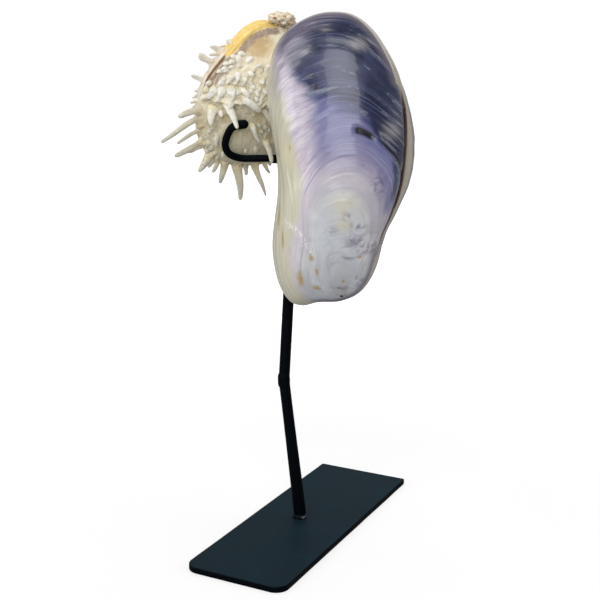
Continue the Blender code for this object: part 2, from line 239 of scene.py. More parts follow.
def scratch_group():
    group, given, out = new_group(
        "scratches",
        [("Vector", "Vector", None), ("Angle", "Float", 0.5), ("Amount", "Float", 0.5)],
        ["Mask"],
    )
    plugs = {"Vector": given["Vector"], "Angle": given["Angle"]}
    turned = add(group, "VectorRotate", plugs, rotation_type="Z_AXIS").outputs[0]
    long = add(group, "VectorMath", {0: turned, 1: (90.0, 1500.0, 90.0)}, operation="MULTIPLY")
    line = mask(group, grain(group, long.outputs[0], 1.0, 2.0, 0.5, 0.6), 0.72, 0.80)
    patch = mask(group, grain(group, given["Vector"], 160.0, 2.0), 0.50, 0.62)
    result = times(group, times(group, line, patch), given["Amount"], clamp=True)
    group.links.new(result, out["Mask"])
    return group


GROWTH_BANDS = growth_bands_group()
MOTTLE = mottle_group()
SCRATCHES = scratch_group()


def use(tree, group, **inputs):
    """Places a node group in a material with its own values."""
    node = tree.nodes.new("ShaderNodeGroup")
    node.node_tree = group
    for name, value in inputs.items():
        if isinstance(value, bpy.types.NodeSocket):
            tree.links.new(value, node.inputs[name])
        else:
            node.inputs[name].default_value = value
    return node.outputs


def local_place(tree):
    """Where the point lies on its own piece, before the piece was stood up."""
    return add(tree, "Attribute", attribute_name="place").outputs["Vector"]


print("groups:", [g.name for g in bpy.data.node_groups])

# %% [markdown]
# ## Helpers for outlines
# A shell is a bowl that follows an outline. A Catmull-Rom curve passes through every listed point, so a few
# points make a smooth outline. The height inside it depends on how near a place is to the margin, and Reach
# measures that in any direction. Steps with soft ends and smooth noise shape nearly everything that follows.

# %% Outline helpers
OUTLINE_POINTS = 1440             # how finely an outline is measured


def smooth_points(points, shares, closed=True):
    """Points at these shares of the way along a smooth curve through the listed ones."""
    points = np.asarray(points, float)
    shares = np.atleast_1d(np.asarray(shares, float))
    count = len(points)
    place = shares % 1 * count if closed else np.clip(shares, 0, 1) * (count - 1)
    start = np.floor(place).astype(int)
    t = (place - start)[:, None]

    def near(step):
        return points[(start + step) % count if closed else np.clip(start + step, 0, count - 1)]

    a, b, c, d = near(-1), near(0), near(1), near(2)
    return b + 0.5 * ((c - a) * t + (2 * a - 5 * b + 4 * c - d) * t**2 + (3 * b - a - 3 * c + d) * t**3)


def soft_step(value, low, high):
    t = np.clip((value - low) / (high - low), 0, 1)
    return t * t * (3 - 2 * t)


def lengths(vectors):
    return np.sqrt((vectors**2).sum(-1))


def unit(vectors):
    return vectors / np.maximum(lengths(vectors)[..., None], 1e-12)


def wander(points, scale, seed, octaves=2):
    """Smooth noise from about -1 to 1 at each point, made of a few sizes of bump."""
    flat = np.asarray(points, float).reshape(-1, 3) * scale + seed * 3.71
    values = [noise.fractal(Vector(p), 1.0, 2.1, octaves) for p in flat]
    return np.array(values).reshape(np.shape(points)[:-1])


class Reach:
    """How far an outline lies from a middle point, in any direction."""

    def __init__(self, outline, middle):
        arms = smooth_points(outline, np.linspace(0, 1, OUTLINE_POINTS, endpoint=False)) - middle
        angles = np.arctan2(arms[:, 1], arms[:, 0])
        order = np.argsort(angles)
        self.angles = angles[order]
        self.lengths = lengths(arms)[order]

    def __call__(self, arms):
        angles = np.arctan2(arms[..., 1], arms[..., 0])
        return np.interp(angles, self.angles, self.lengths, period=2 * math.pi)


four_points = np.array([(1, 1), (-1, 1), (-1, -1), (1, -1)])
side_reach = Reach(four_points, np.zeros(2))(np.array((1.0, 0.0)))
print("a smooth curve through a square's corners reaches", round(float(side_reach), 2), "at its sides")

# %% [markdown]
# ## Helpers for meshes
# Shells, spines, rods and the plate are all rings of points with faces between them. The pile collects such
# rings and a few numbers for each point. Those numbers become mesh attributes, which the finishes read as
# masks. A mesh that is built in this way needs no modifiers, and every piece is shown by the same lines.

# %% Mesh helpers
class Pile:
    """Collects rings of points, the faces between them and named numbers for each point."""

    def __init__(self):
        self.points = []
        self.faces = []
        self.values = {}
        self.count = 0

    def add_rings(self, rings, **values):
        """Joins neighbouring rings with quads and closes both ends with a fan."""
        steps, around = rings.shape[:2]
        first = self.count
        ends = rings[[0, -1]].mean(axis=1)
        self.points.append(np.concatenate([rings.reshape(-1, 3), ends]))
        for name in sorted(set(self.values) | set(values)):
            value = np.broadcast_to(values.get(name, 0.0), (steps, around))
            end_values = value[[0, -1]].mean(axis=1)
            earlier = self.values.setdefault(name, [np.zeros(first)] if first else [])
            earlier.append(np.concatenate([value.ravel(), end_values]))
        i = np.arange(around)
        j = (i + 1) % around
        for step in range(steps - 1):
            low = first + step * around
            high = low + around
            self.faces += np.stack([low + i, low + j, high + j, high + i], 1).tolist()
        bottom = first + steps * around
        last = first + (steps - 1) * around
        self.faces += np.stack([np.full(around, bottom), first + j, first + i], 1).tolist()
        self.faces += np.stack([np.full(around, bottom + 1), last + i, last + j], 1).tolist()
        self.count += steps * around + 2

    def mesh(self, name):
        made = bpy.data.meshes.new(name)
        made.from_pydata(np.concatenate(self.points).tolist(), [], self.faces)
        for label, parts in self.values.items():
            layer = made.attributes.new(label, "FLOAT", "POINT")
            layer.data.foreach_set("value", np.concatenate(parts).astype(np.float32))
        shape = bmesh.new()
        shape.from_mesh(made)
        bmesh.ops.recalc_face_normals(shape, faces=shape.faces)
        shape.to_mesh(made)
        shape.free()
        made.shade_smooth()
        return made


def rings_mesh(name, rings):
    """A mesh of one set of rings whose points carry no numbers."""
    pile = Pile()
    pile.add_rings(rings)
    return pile.mesh(name)


def show(name, data, finish, node, place=Matrix.Identity(4)):
    """Links a finished piece, which stands for a solid and rides with the object's one body.

    Its points are moved to where the piece stands, and their places on the piece are kept for the finish.
    """
    points = np.empty(len(data.vertices) * 3, np.float32)
    data.vertices.foreach_get("co", points)
    data.attributes.new("place", "FLOAT_VECTOR", "POINT").data.foreach_set("vector", points)
    data.transform(place)
    piece = bpy.data.objects.new(name, data)
    piece.data.materials.append(finish)
    bpy.context.scene.collection.objects.link(piece)
    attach(piece, "root")
    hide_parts(node)
    low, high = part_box(node)
    print(name, "stands for a solid of", [round(s / MM, 1) for s in high - low], "mm")
    return piece


def shell_frame(place, turn, lean=0.0):
    """A shell's own axes: X across it, Y up it, Z out of its near valve."""
    across = Vector((math.cos(turn), math.sin(turn), 0))
    out = Vector((math.sin(turn), -math.cos(turn), 0))
    up = Vector((0, 0, 1))
    near = out * math.cos(lean) - up * math.sin(lean)
    tall = up * math.cos(lean) + out * math.sin(lean)
    return Matrix.Translation(place) @ Matrix((across, tall, near)).transposed().to_4x4()


print("a shell without a turn faces", tuple(shell_frame((0, 0, 0), 0).col[2][:3]))

# %% [markdown]
# ## The mussel's shape
# A mussel valve bulges over its outline like the lid of a long box. The height comes from one formula: full
# in the middle and steep at the margin. The shell was laid down in stages from the beak near its lower end,
# so every point also gets a growth number, 0 at the beak and 1 at the margin. Lines of equal growth arch over
# the valve and run down both sides. The relief and the colours both follow that number.

# %% Mussel sizes
MUSSEL_FRAME = shell_frame((0.0218, -0.0176, 0.1898), math.radians(8))
MUSSEL_DEPTH = 0.0235             # how far one valve bulges
MUSSEL_WALL = 0.0028
MUSSEL_MIDDLE = np.array((0.0, -4.0)) * MM
MUSSEL_OUTLINE = np.array([
    (-6, 59.9), (-15.5, 57.8), (-24.5, 52.5), (-30.6, 45), (-33.3, 34), (-33.4, 22), (-31.2, 9),
    (-28.4, -6), (-27.7, -19), (-29.2, -33), (-30.2, -47), (-27.6, -61), (-22.5, -70), (-16, -72.4),
    (-8, -70.2), (2.5, -68.8), (11.5, -63.8), (17.2, -53.4), (19.9, -39), (23.9, -28), (27.3, -15),
    (28.6, 0), (28.6, 13), (26.8, 25.2), (22.1, 38.4), (13.8, 51.5), (4.5, 58.6),
]) * MM
MUSSEL_BEAK = np.array((6.0, -64.5)) * MM
BEND_SHIFT = 11 * MM              # the growth lines' tops lie this far towards the hinge at mid height
BEND_HEIGHT = 4 * MM
BEND_REACH = 34 * MM

mussel_reach = Reach(MUSSEL_OUTLINE, MUSSEL_MIDDLE)
beak_reach = Reach(MUSSEL_OUTLINE, MUSSEL_BEAK)
margin_points = smooth_points(MUSSEL_OUTLINE, np.linspace(0, 1, OUTLINE_POINTS, endpoint=False))
left_side = margin_points[margin_points[:, 0] < MUSSEL_OUTLINE[0, 0]]
left_side = left_side[np.argsort(left_side[:, 1])]


def mussel_growth(flat):
    """The growth number of places given by their first two coordinates."""
    bend = BEND_SHIFT * np.exp(-(((flat[..., 1] - BEND_HEIGHT) / BEND_REACH) ** 2))
    bend = bend * soft_step(flat[..., 0], -24 * MM, -2 * MM)
    arms = flat[..., :2] - MUSSEL_BEAK
    arms = np.stack([arms[..., 0] - bend, arms[..., 1]], -1)
    return lengths(arms) / beak_reach(arms)


print("mussel outline:", np.round(np.ptp(MUSSEL_OUTLINE, axis=0) / MM, 1), "mm")

# %% [markdown]
# ## Marks and ridges
# Stains, scrapes and growth ridges could all come from noise, but the ones that catch the eye have fixed
# places. Two helpers turn short lists of such places into soft masks: one measures the distance to a broken
# line, the other makes oval spots. The ridges do come by chance, from a fixed seed, because no single one
# of them stands out.

# %% Marks and ridges
def near_line(flat, line):
    """Distance in millimetres from each place to a broken line of (x, y) points in millimetres."""
    best = np.full(flat.shape[:-1], 1e9)
    for a, b in zip(line[:-1], line[1:]):
        a = np.array(a, float)
        run = np.array(b, float) - a
        t = np.clip(((flat[..., :2] / MM - a) @ run) / (run @ run), 0, 1)
        best = np.minimum(best, lengths(flat[..., :2] / MM - a - t[..., None] * run))
    return best


def spots(flat, places):
    """A soft mask round each (x, y, width, height) in millimetres."""
    total = np.zeros(flat.shape[:-1])
    for x, y, wide, tall in places:
        across = (flat[..., 0] / MM - x) / wide
        up = (flat[..., 1] / MM - y) / tall
        total = np.maximum(total, np.exp(-(across**2) - up**2))
    return total


def growth_relief(growth, seed, count, height, width):
    """Low ridges at random growth stages, as a height in metres for each growth number."""
    chance = np.random.default_rng(seed)
    stage = np.linspace(0, 1.6, 3200)
    relief = np.zeros(len(stage))
    for _ in range(count):
        place = chance.uniform(0.05, 1.3)
        rise = chance.uniform(*height) * chance.choice((-1, 1))
        relief += rise * np.exp(-(((stage - place) / chance.uniform(*width)) ** 2))
    return np.interp(growth, stage, relief)


FINE_RIDGES = {"seed": 5, "count": 90, "height": (0.02 * MM, 0.11 * MM), "width": (0.004, 0.016)}
BROAD_RIDGES = {"seed": 9, "count": 16, "height": (0.05 * MM, 0.16 * MM), "width": (0.012, 0.03)}
ridges = growth_relief(np.linspace(0, 1, 500), **FINE_RIDGES)
print("the fine ridges of the mussel reach", round(np.ptp(ridges) / MM, 2), "mm from lowest to highest")

# %% [markdown]
# ## The mussel's relief
# The bulge alone would look like a moulded lid. On the real valve growth ridges lie all over, one deep
# growth check curls round to the hinge, and soft waves cross the ridges near the beak. A bump in the finish
# could fake them, but not at the outline or in the polish's reflections, so each outer point really moves
# along its normal.

# %% Mussel relief
CHECK_STAGE = 0.605               # the growth stage of the deep check
CHECK_DEPTH = 0.9 * MM
HOLLOW_BEFORE_CHECK = 0.45 * MM
SHOULDERS = {"right": 0.0030, "left": 0.0058}     # how far each valve swells at the hinge side
SHOULDER_SIDE = 0.028             # the swelling is full at this distance from the middle line
SHOULDER_HEIGHT = -0.006
SHOULDER_REACH = 0.026
RIPPLE_PLACE = [(14, -40, 9, 9)]
RIPPLE_LENGTH = 1.15 * MM
RIPPLE_HEIGHT = 0.09 * MM


def mussel_outer(flat, shoulder):
    """The bulging surface over flat places, swollen out at the hinge side."""
    arms = flat - MUSSEL_MIDDLE
    ratio = np.minimum(lengths(arms) / mussel_reach(arms), 1)
    height = MUSSEL_DEPTH * np.sqrt(1 - ratio**2.3)
    climb = np.sin(math.pi * np.minimum(height / (MUSSEL_DEPTH * 0.8), 1))
    hinge = np.clip(flat[..., 0] / SHOULDER_SIDE, 0, 1) ** 2
    middle = np.exp(-(((flat[..., 1] - SHOULDER_HEIGHT) / SHOULDER_REACH) ** 2))
    across = flat[..., 0] + shoulder * climb * hinge * (0.3 + 0.7 * middle)
    return np.stack([across, flat[..., 1], height], -1)


def grid_normals(grid):
    """Normals of a closed-round grid of points, pointing away from its middle."""
    along = np.gradient(grid, axis=0)
    about = np.roll(grid, -1, axis=1) - np.roll(grid, 1, axis=1)
    normals = unit(np.cross(along, about))
    return normals * np.sign(normals[len(grid) // 2, :, 2].mean())


def mussel_relief(surface, flat, growth, side):
    """How far each outer point moves along its normal, in metres, and the masks of check and wrinkles."""
    relief = growth_relief(growth, **FINE_RIDGES) + growth_relief(growth, **BROAD_RIDGES)
    relief += 0.12 * MM * wander(surface, 60, 1)
    x = flat[..., 0] / MM
    y = flat[..., 1] / MM
    upper = soft_step(y, -12, -4)
    pocket = soft_step(x, 10.5, 14.0) * (1 - soft_step(x, 18.5, 22.0)) * upper
    groove = soft_step(x, 21.0, 24.0) * soft_step(y, -30, -22)
    round_it = soft_step(x, 6.0, 17.0) * (1 - soft_step(x, 17.0, 25.0)) * upper
    deep = np.exp(-(np.abs((growth - CHECK_STAGE + 0.005) / 0.017) ** 3))
    fine = np.exp(-(((growth - CHECK_STAGE) / 0.009) ** 2))
    check = deep * pocket + fine * groove
    hollow = np.exp(-(((growth - CHECK_STAGE + 0.05) / 0.030) ** 2)) * round_it
    if side == "left":
        check = check * 0.2
    relief -= CHECK_DEPTH * check + HOLLOW_BEFORE_CHECK * hollow
    slope = flat[..., 0] * 0.55 - flat[..., 1] * 0.9
    ripple = np.sin(slope / RIPPLE_LENGTH + 2 * wander(surface, 120, 4)) * spots(flat, RIPPLE_PLACE)
    relief += RIPPLE_HEIGHT * ripple
    return relief, check, np.maximum(-ripple, 0)


print("the growth check is", round(CHECK_DEPTH / MM, 2), "mm deep at stage", CHECK_STAGE)

# %% [markdown]
# ## Where the mussel's colours lie
# The polished shell has spots, a cream side and a navy end in fixed places. They could be painted on an
# image, but a few listed places keep the finish sharp at any size. The spots are ovals. The widths of the
# cream side, and the growth number at which the navy begins, are read off between the listed heights.

# %% Colour places
# Spots on the valve: place across and up it, half width and half height (mm)
OCHRE_SPOTS = [
    (-12.5, -57, 2.0, 5.0), (-5.5, -61, 2.4, 1.8), (7, -57, 0.9, 1.0), (-6.5, -46.5, 1.6, 1.9),
    (-23, -30, 1.0, 7.0), (-20.5, -39, 1.0, 6.0), (14, -45.5, 1.0, 1.0), (-4.5, -53, 1.2, 2.2),
    (-17, 1.5, 0.8, 2.0),
]
YELLOW_SPOTS = [(9.5, -22.5, 5.0, 5.5), (8, -31, 3.2, 3.0), (-19, -3, 4.0, 7.0)]
WORN_SPOTS = [(10.5, 46, 4.0, 2.6), (-12, 42, 3.2, 1.8), (-4.5, 52, 3.0, 1.2), (25, 10, 2.4, 4.0)]
PURPLE_SPOTS = [
    (12.5, -37.5, 3.6, 2.0), (16.5, -41.0, 3.8, 2.4), (13.5, -31.5, 3.4, 1.5), (9.5, -27.0, 1.7, 1.5),
    (4.0, -33.5, 2.2, 1.5), (21.3, -12.5, 2.6, 5.0), (16.0, -4.2, 1.0, 0.9), (24.5, -50.0, 3.0, 3.0),
    (9.5, -45.5, 2.2, 1.0), (13.0, -57.5, 2.6, 3.0), (5.2, -60.5, 3.5, 1.2),
]
RUBBED_LINE = [(-18.0, -31.6), (-14.5, -33), (-11.3, -36.3), (-9.0, -40), (-6.0, -43.8)]
# The cream belly side and the pale zone beside it: their widths in mm at these heights
SIDE_HEIGHTS = [-70, -58, -43, -29, -16, 2, 20, 26, 32, 43, 51]
CREAM_WIDTHS = [13, 13, 14, 17, 17.5, 16, 14.5, 11.5, 8, 3, 1]
PALE_WIDTHS = [14, 14.5, 17, 20, 22, 25, 26, 23, 16, 5, 0]
# The navy begins later on the belly side than on the hinge side, where it is a narrow strip lower down
NAVY_PLACES = [-22, -13, -3, 6, 13, 20, 24, 27]
NAVY_EDGES = [0.83, 0.785, 0.735, 0.69, 0.68, 0.62, 0.60, 0.59]
LOWER_NAVY_EDGES = [0.83, 0.80, 0.77, 0.76, 0.76, 0.74, 0.66, 0.60]
NAVY_STAGE = 0.755
# Low down the colours stay those of the early stages: no stage past these at these heights
LIMIT_HEIGHTS = [-72, -60, -45, -30, -20, -10, -2]
STAGE_LIMITS = [0.15, 0.32, 0.40, 0.46, 0.51, 0.62, 0.89]
PITS = [(-6.9, 32.0, 0.9, 1.3), (-5.6, 27.6, 1.2, 1.8), (4.6, -65.2, 0.9, 0.8)]
PIT_DEPTH = 0.12 * MM
print(len(OCHRE_SPOTS) + len(YELLOW_SPOTS) + len(PURPLE_SPOTS), "coloured spots and", len(PITS), "pits")

# %% [markdown]
# ## One mussel valve
# The mesh starts as rings from the middle to the margin, crowded near the margin where the valve is steep,
# and goes back inside as the shell's wall. Every point carries the numbers that the finish reads. The left
# valve is the same shell turned over, without the marks that only the viewer's side has.

# %% Mussel valves
RINGS = 170
AROUND = 320
INNER_RINGS = 14


def mussel_valve(side):
    """One valve as a mesh, with the numbers that its finish reads."""
    shares = np.linspace(0, 1, AROUND, endpoint=False)
    margin = smooth_points(MUSSEL_OUTLINE, shares)
    stages = np.sin(np.linspace(0.004, math.pi / 2, RINGS))[:, None, None]
    flat = MUSSEL_MIDDLE + (margin - MUSSEL_MIDDLE) * stages
    surface = mussel_outer(flat, SHOULDERS[side])
    growth = mussel_growth(flat)
    relief, check, wrinkle = mussel_relief(surface, flat, growth, side)
    if side == "right":
        relief -= PIT_DEPTH * spots(flat, PITS)
    edge = stages[..., 0]
    relief *= 1 - soft_step(edge, 0.985, 1.0)
    outer = surface + grid_normals(surface) * relief[..., None]

    inner_stages = np.sin(np.linspace(math.pi / 2, 0.1, INNER_RINGS))[:, None, None]
    inner_flat = MUSSEL_MIDDLE + (margin - MUSSEL_MIDDLE) * inner_stages
    arms = inner_flat - MUSSEL_MIDDLE
    inner = mussel_outer(inner_flat, SHOULDERS[side])
    inner[..., :2] = MUSSEL_MIDDLE + arms * (1 - MUSSEL_WALL / mussel_reach(arms))[..., None]
    inner[..., 2] = np.maximum(inner[..., 2] - MUSSEL_WALL, 0)

    rings = np.concatenate([outer, inner])
    rings[..., 2] += GAP / 2
    rings[..., 2] *= 1 if side == "right" else -1

    def whole(value, inside=0.0):
        return np.concatenate([value, np.full((INNER_RINGS, AROUND), inside)])

    def on_viewers(value):
        return whole(value * (side == "right"))

    x = flat[..., 0] / MM
    y = flat[..., 1] / MM
    belly = x - np.interp(flat[..., 1], left_side[:, 1], left_side[:, 0]) / MM
    upper = soft_step(y, -14, 8)
    navy_edge = np.interp(x, NAVY_PLACES, NAVY_EDGES) * upper
    navy_edge += np.interp(x, NAVY_PLACES, LOWER_NAVY_EDGES) * (1 - upper)
    stage = np.minimum(growth + NAVY_STAGE - navy_edge, np.interp(y, LIMIT_HEIGHTS, STAGE_LIMITS))
    past_check = soft_step(growth, CHECK_STAGE - 0.01, CHECK_STAGE + 0.02)
    slate = past_check * soft_step(x, 18, 23) * soft_step(y, -38, -26)
    stage += slate * np.maximum(0.86 - stage, 0)
    to_margin = (1 - edge) * mussel_reach(flat - MUSSEL_MIDDLE) / MM
    strip = (1 - soft_step(to_margin, 1.6, 4.2)) * soft_step(x, 12, 17) * soft_step(y, -29, -17)
    stage += strip * (1 - soft_step(y, 6, 14)) * np.maximum(0.80 - stage, 0)
    hinge_side = soft_step(x, 17, 21) * soft_step(y, -50, -36) * (1 - soft_step(y, 22, 30))
    rise = surface[..., 2] / MM
    arm = flat - MUSSEL_BEAK
    pile = Pile()
    pile.add_rings(
        rings,
        growth=whole(growth),
        stage=whole(stage),
        across=whole(np.arctan2(arm[..., 0], arm[..., 1])),
        cream=whole(belly - np.interp(y, SIDE_HEIGHTS, CREAM_WIDTHS)),
        pale=whole(belly - np.interp(y, SIDE_HEIGHTS, PALE_WIDTHS)),
        mauve=whole(np.exp(-(((belly - 9) / 8) ** 2)) * soft_step(y, 12, 32)),
        edge=whole(to_margin + 6 * hinge_side * (side == "right"), 9.0),
        hinge=whole(soft_step(x, 19, 24) * (1 - soft_step(y, 18, 30)) * (side == "left")),
        skin=whole(hinge_side * (1 - soft_step(rise, 0.8, 2.2))),
        wrinkle=on_viewers(wrinkle),
        worn=on_viewers(spots(flat, WORN_SPOTS)),
        check=whole(check),
        ochre=on_viewers(spots(flat, OCHRE_SPOTS)),
        yellow=whole(spots(flat, YELLOW_SPOTS)),
        purple=whole(spots(flat, PURPLE_SPOTS)),
        rubbed=on_viewers(np.exp(-((near_line(flat, RUBBED_LINE) / 1.3) ** 2))),
        pit=on_viewers(spots(flat, PITS)),
    )
    return pile.mesh("mussel_" + side)


mussel_meshes = {side: mussel_valve(side) for side in ("right", "left")}
print("faces of each valve:", {side: len(mesh.polygons) for side, mesh in mussel_meshes.items()})

# %% [markdown]
# ## The polished mussel finish
# The outer brown skin has been ground away and the shell polished, so layers of different age show: pale
# silver and lilac near the beak, lavender in the middle, deep navy towards the far end, and cream along the
# belly side. A colour ramp over the growth number makes that order, growth bands break it into fine lines,
# and masks lay the cream side, the rim, the stains and the scratches over it. A clear coat gives the polish.

# %% Growth colours
# The colours of the growth stages, from the beak to the margin
STAGE_COLOURS = [
    (0.00, shade(180, 178, 174)), (0.12, shade(192, 194, 197)), (0.25, shade(202, 207, 213)),
    (0.37, shade(208, 208, 208)), (0.44, shade(198, 190, 200)), (0.51, shade(162, 155, 180)),
    (0.58, shade(130, 128, 164)), (0.66, shade(120, 122, 162)), (0.715, shade(106, 110, 156)),
    (0.755, shade(62, 68, 114)), (0.79, shade(30, 37, 74)), (0.87, shade(26, 33, 62)),
    (0.95, shade(56, 62, 90)),
]


def stage_colours(tree, stage, bands, wide):
    """The colours that follow the growth stages with their fine lines, and a mask of the navy."""
    colour = ramp(tree, stage, STAGE_COLOURS)
    dark = mask(tree, stage, 0.71, 0.79)
    late = plus(tree, times(tree, mask(tree, stage, 0.34, 0.62), 0.84), 0.16)
    pale = blend(tree, dark, shade(222, 216, 228), shade(96, 104, 138))
    colour = lay(tree, colour, pale, mask(tree, bands["Fine"], 0.52, 0.68), 0.22)
    deep = blend(tree, dark, shade(132, 122, 158), shade(10, 15, 36))
    shaded = times(tree, mask(tree, wide["Fine"], 0.47, 0.33), 0.50)
    bold = plus(tree, shaded, times(tree, wide["Line"], 0.30))
    colour = blend(tree, times(tree, bold, late, clamp=True), colour, deep)
    thin = times(tree, bands["Line"], plus(tree, times(tree, dark, 0.30), 0.14))
    return blend(tree, thin, colour, pale), dark


print(len(STAGE_COLOURS), "colours from the beak to the margin")

# %% [markdown]
# ## Where the mussel was ground
# Grinding by hand does not take off the same depth everywhere. Grey patches show where the navy layer was
# ground thin, and in the pale part lilac and silver streaks come through. Each one is a noise mask, limited
# to the stages where the real shell shows it.

# %% Ground patches
def ground_patches(tree, colour, stage, dark, place, cloud, bands, wide):
    """Lays the patches and streaks over the colour, and gives the mask of the worn navy too."""
    worn = times(tree, mask(tree, wide["Streak"], 0.52, 0.66), dark)
    worn = times(tree, worn, mask(tree, cloud, 0.42, 0.58))
    colour = lay(tree, colour, shade(140, 146, 160), worn, 0.80)
    bare = times(tree, attribute(tree, "worn"), mask(tree, wide["Streak"], 0.36, 0.56))
    colour = lay(tree, colour, shade(156, 152, 154), bare, 0.80)
    smoke = times(tree, mask(tree, grain(tree, place, 38.0, 3.0), 0.52, 0.68), dark)
    colour = lay(tree, colour, shade(92, 94, 128), smoke, 0.40)
    early = mask(tree, stage, 0.60, 0.36)
    lilac = times(tree, mask(tree, wide["Coarse"], 0.50, 0.64), mask(tree, stage, 0.70, 0.40))
    colour = lay(tree, colour, shade(182, 172, 192), lilac, 0.36)
    grey = times(tree, mask(tree, cloud, 0.42, 0.58), early)
    colour = lay(tree, colour, shade(170, 174, 180), grey, 0.35)
    silver = times(tree, mask(tree, bands["Streak"], 0.54, 0.68), early)
    return lay(tree, colour, shade(216, 228, 232), silver, 0.38), worn


print("ground patches lie on stages below 0.70 and above 0.71")

# %% [markdown]
# ## The mussel's belly side and rim
# Along the belly side the polish stopped in the cream layer: first comes a pale pink zone, then cream with
# green-grey streaks, and mauve at its upper edge. The rim is brown-grey, and dark skin is left in the hinge.
# The widths are stored with the mesh, and a noise added to them frays their borders.

# %% Belly side
CREAM = shade(206, 202, 182)
GREENISH = shade(196, 192, 166)
RIM = shade(176, 168, 152)


def belly_side(tree, colour, bands, wide, band_shift):
    ragged = times(tree, calc(tree, "SUBTRACT", wide["Streak"], 0.5), 9.0)
    pink = mask(tree, plus(tree, attribute(tree, "pale"), ragged), 5.0, -5.0)
    streaked = mask(tree, bands["Streak"], 0.44, 0.62)
    pink_colour = blend(tree, streaked, shade(220, 212, 218), shade(196, 182, 200))
    colour = lay(tree, colour, pink_colour, pink, 0.88)
    creamy = mask(tree, plus(tree, attribute(tree, "cream"), ragged), 2.5, -2.5)
    cream = blend(tree, mask(tree, wide["Streak"], 0.44, 0.60), CREAM, GREENISH)
    cream = lay(tree, cream, shade(170, 164, 144), bands["Line"], 0.3)
    colour = lay(tree, colour, cream, creamy, 0.94)
    mauve = times(tree, attribute(tree, "mauve"), mask(tree, bands["Fine"], 0.36, 0.56))
    colour = lay(tree, colour, shade(134, 124, 142), mauve, 0.72)
    # The left valve's hinge side gets a near-white cream: partly its own colour, partly painted light making
    # up for the little lamp light reaching that side
    cream_with_painted_light = blend(tree, 0.8, cream, shade(250, 244, 224))
    colour = blend(tree, attribute(tree, "hinge"), colour, cream_with_painted_light)
    edge = plus(tree, attribute(tree, "edge"), times(tree, band_shift, 16.0))
    off_cream = mask(tree, attribute(tree, "cream"), -4.0, 6.0)
    brown_edge = times(tree, mask(tree, edge, 3.6, 0.8), off_cream)
    colour = lay(tree, colour, shade(104, 96, 110), brown_edge, 0.85)
    colour = blend(tree, mask(tree, attribute(tree, "edge"), 0.75, 0.25), colour, RIM)
    return blend(tree, attribute(tree, "skin"), colour, shade(76, 48, 52))


print("the cream side is up to", max(CREAM_WIDTHS), "mm wide")

# %% [markdown]
# ## The mussel's stains
# Rust-coloured and yellow stains sit where the shell was bruised, purple specks gather near the hinge, and a
# chalky line was rubbed into the polish. Their spots come from the mesh. A mottle eats into their edges,
# because a stain never ends in a clean oval.

# %% Stains
STAIN = shade(176, 142, 74)
BONE = shade(218, 208, 172)


def stains(tree, colour, place, cloud):
    patch = use(tree, MOTTLE, Vector=place, Scale=420.0, Low=0.40, High=0.62)["Mask"]
    yellow = times(tree, attribute(tree, "yellow"), mask(tree, cloud, 0.30, 0.62))
    colour = lay(tree, colour, BONE, yellow, 0.65)
    purple = times(tree, attribute(tree, "purple"), patch)
    colour = lay(tree, colour, shade(100, 88, 122), purple, 0.75)
    wrinkles = mask(tree, attribute(tree, "wrinkle"), 0.3, 0.9)
    colour = lay(tree, colour, shade(126, 110, 134), wrinkles, 0.45)
    spotted = plus(tree, attribute(tree, "ochre"), times(tree, patch, 0.2))
    colour = lay(tree, colour, STAIN, mask(tree, spotted, 0.30, 1.15), 0.80)
    chalk = mask(tree, grain(tree, place, 1300.0, 3.0, 0.7), 0.50, 0.58)
    return blend(tree, times(tree, attribute(tree, "rubbed"), chalk), colour, shade(244, 238, 238))


print("the chalky line runs through", len(RUBBED_LINE), "places")

# %% [markdown]
# ## The whole mussel finish
# The colours are laid over each other in the order in which they came about: growth, grinding, stains, and
# last the fine scratches, the shadow in the deep check and the pits. Worn and streaked places are rougher,
# and the part near the beak has less of the clear coat. One material serves both valves.

# %% Mussel finish
def mussel_finish(name):
    made, tree, shader = new_material(name, 0.24)
    place = local_place(tree)
    plugs = {"Growth": attribute(tree, "growth"), "Across": attribute(tree, "across")}
    bands = use(tree, GROWTH_BANDS, **plugs, Lines=150.0, Length=3.2)
    wide = use(tree, GROWTH_BANDS, **plugs, Lines=46.0, Length=2.2)
    cloud = grain(tree, place, 70.0, 4.0, 0.6, 0.8)
    cloud_shift = times(tree, calc(tree, "SUBTRACT", cloud, 0.5), 0.07)
    band_shift = times(tree, calc(tree, "SUBTRACT", wide["Coarse"], 0.5), 0.13)
    stage = plus(tree, attribute(tree, "stage"), plus(tree, cloud_shift, band_shift))

    colour, dark = stage_colours(tree, stage, bands, wide)
    colour, worn = ground_patches(tree, colour, stage, dark, place, cloud, bands, wide)
    colour = belly_side(tree, colour, bands, wide, band_shift)
    colour = stains(tree, colour, place, cloud)
    pale_marks = use(tree, SCRATCHES, Vector=place, Angle=0.9, Amount=0.7)["Mask"]
    dark_marks = use(tree, SCRATCHES, Vector=place, Angle=-0.75, Amount=0.5)["Mask"]
    colour = blend(tree, pale_marks, colour, shade(196, 198, 206))
    colour = blend(tree, dark_marks, colour, shade(84, 76, 96))
    colour = blend(tree, mask(tree, attribute(tree, "check"), 0.20, 1.0), colour, shade(18, 16, 26))
    colour = blend(tree, mask(tree, attribute(tree, "pit"), 0.40, 0.75), colour, shade(62, 54, 52))
    tree.links.new(colour, shader.inputs["Base Color"])

    rough = plus(tree, times(tree, worn, 0.22), times(tree, bands["Streak"], 0.22))
    tree.links.new(plus(tree, rough, 0.10), shader.inputs["Roughness"])
    shine = plus(tree, times(tree, mask(tree, stage, 0.50, 0.66), 0.35), 0.25)
    tree.links.new(shine, shader.inputs["Coat Weight"])
    height = plus(tree, bands["Fine"], times(tree, bands["Streak"], 0.6))
    height = calc(tree, "SUBTRACT", height, times(tree, plus(tree, pale_marks, dark_marks), 0.5))
    raise_surface(tree, shader, height, 0.00006)
    return made


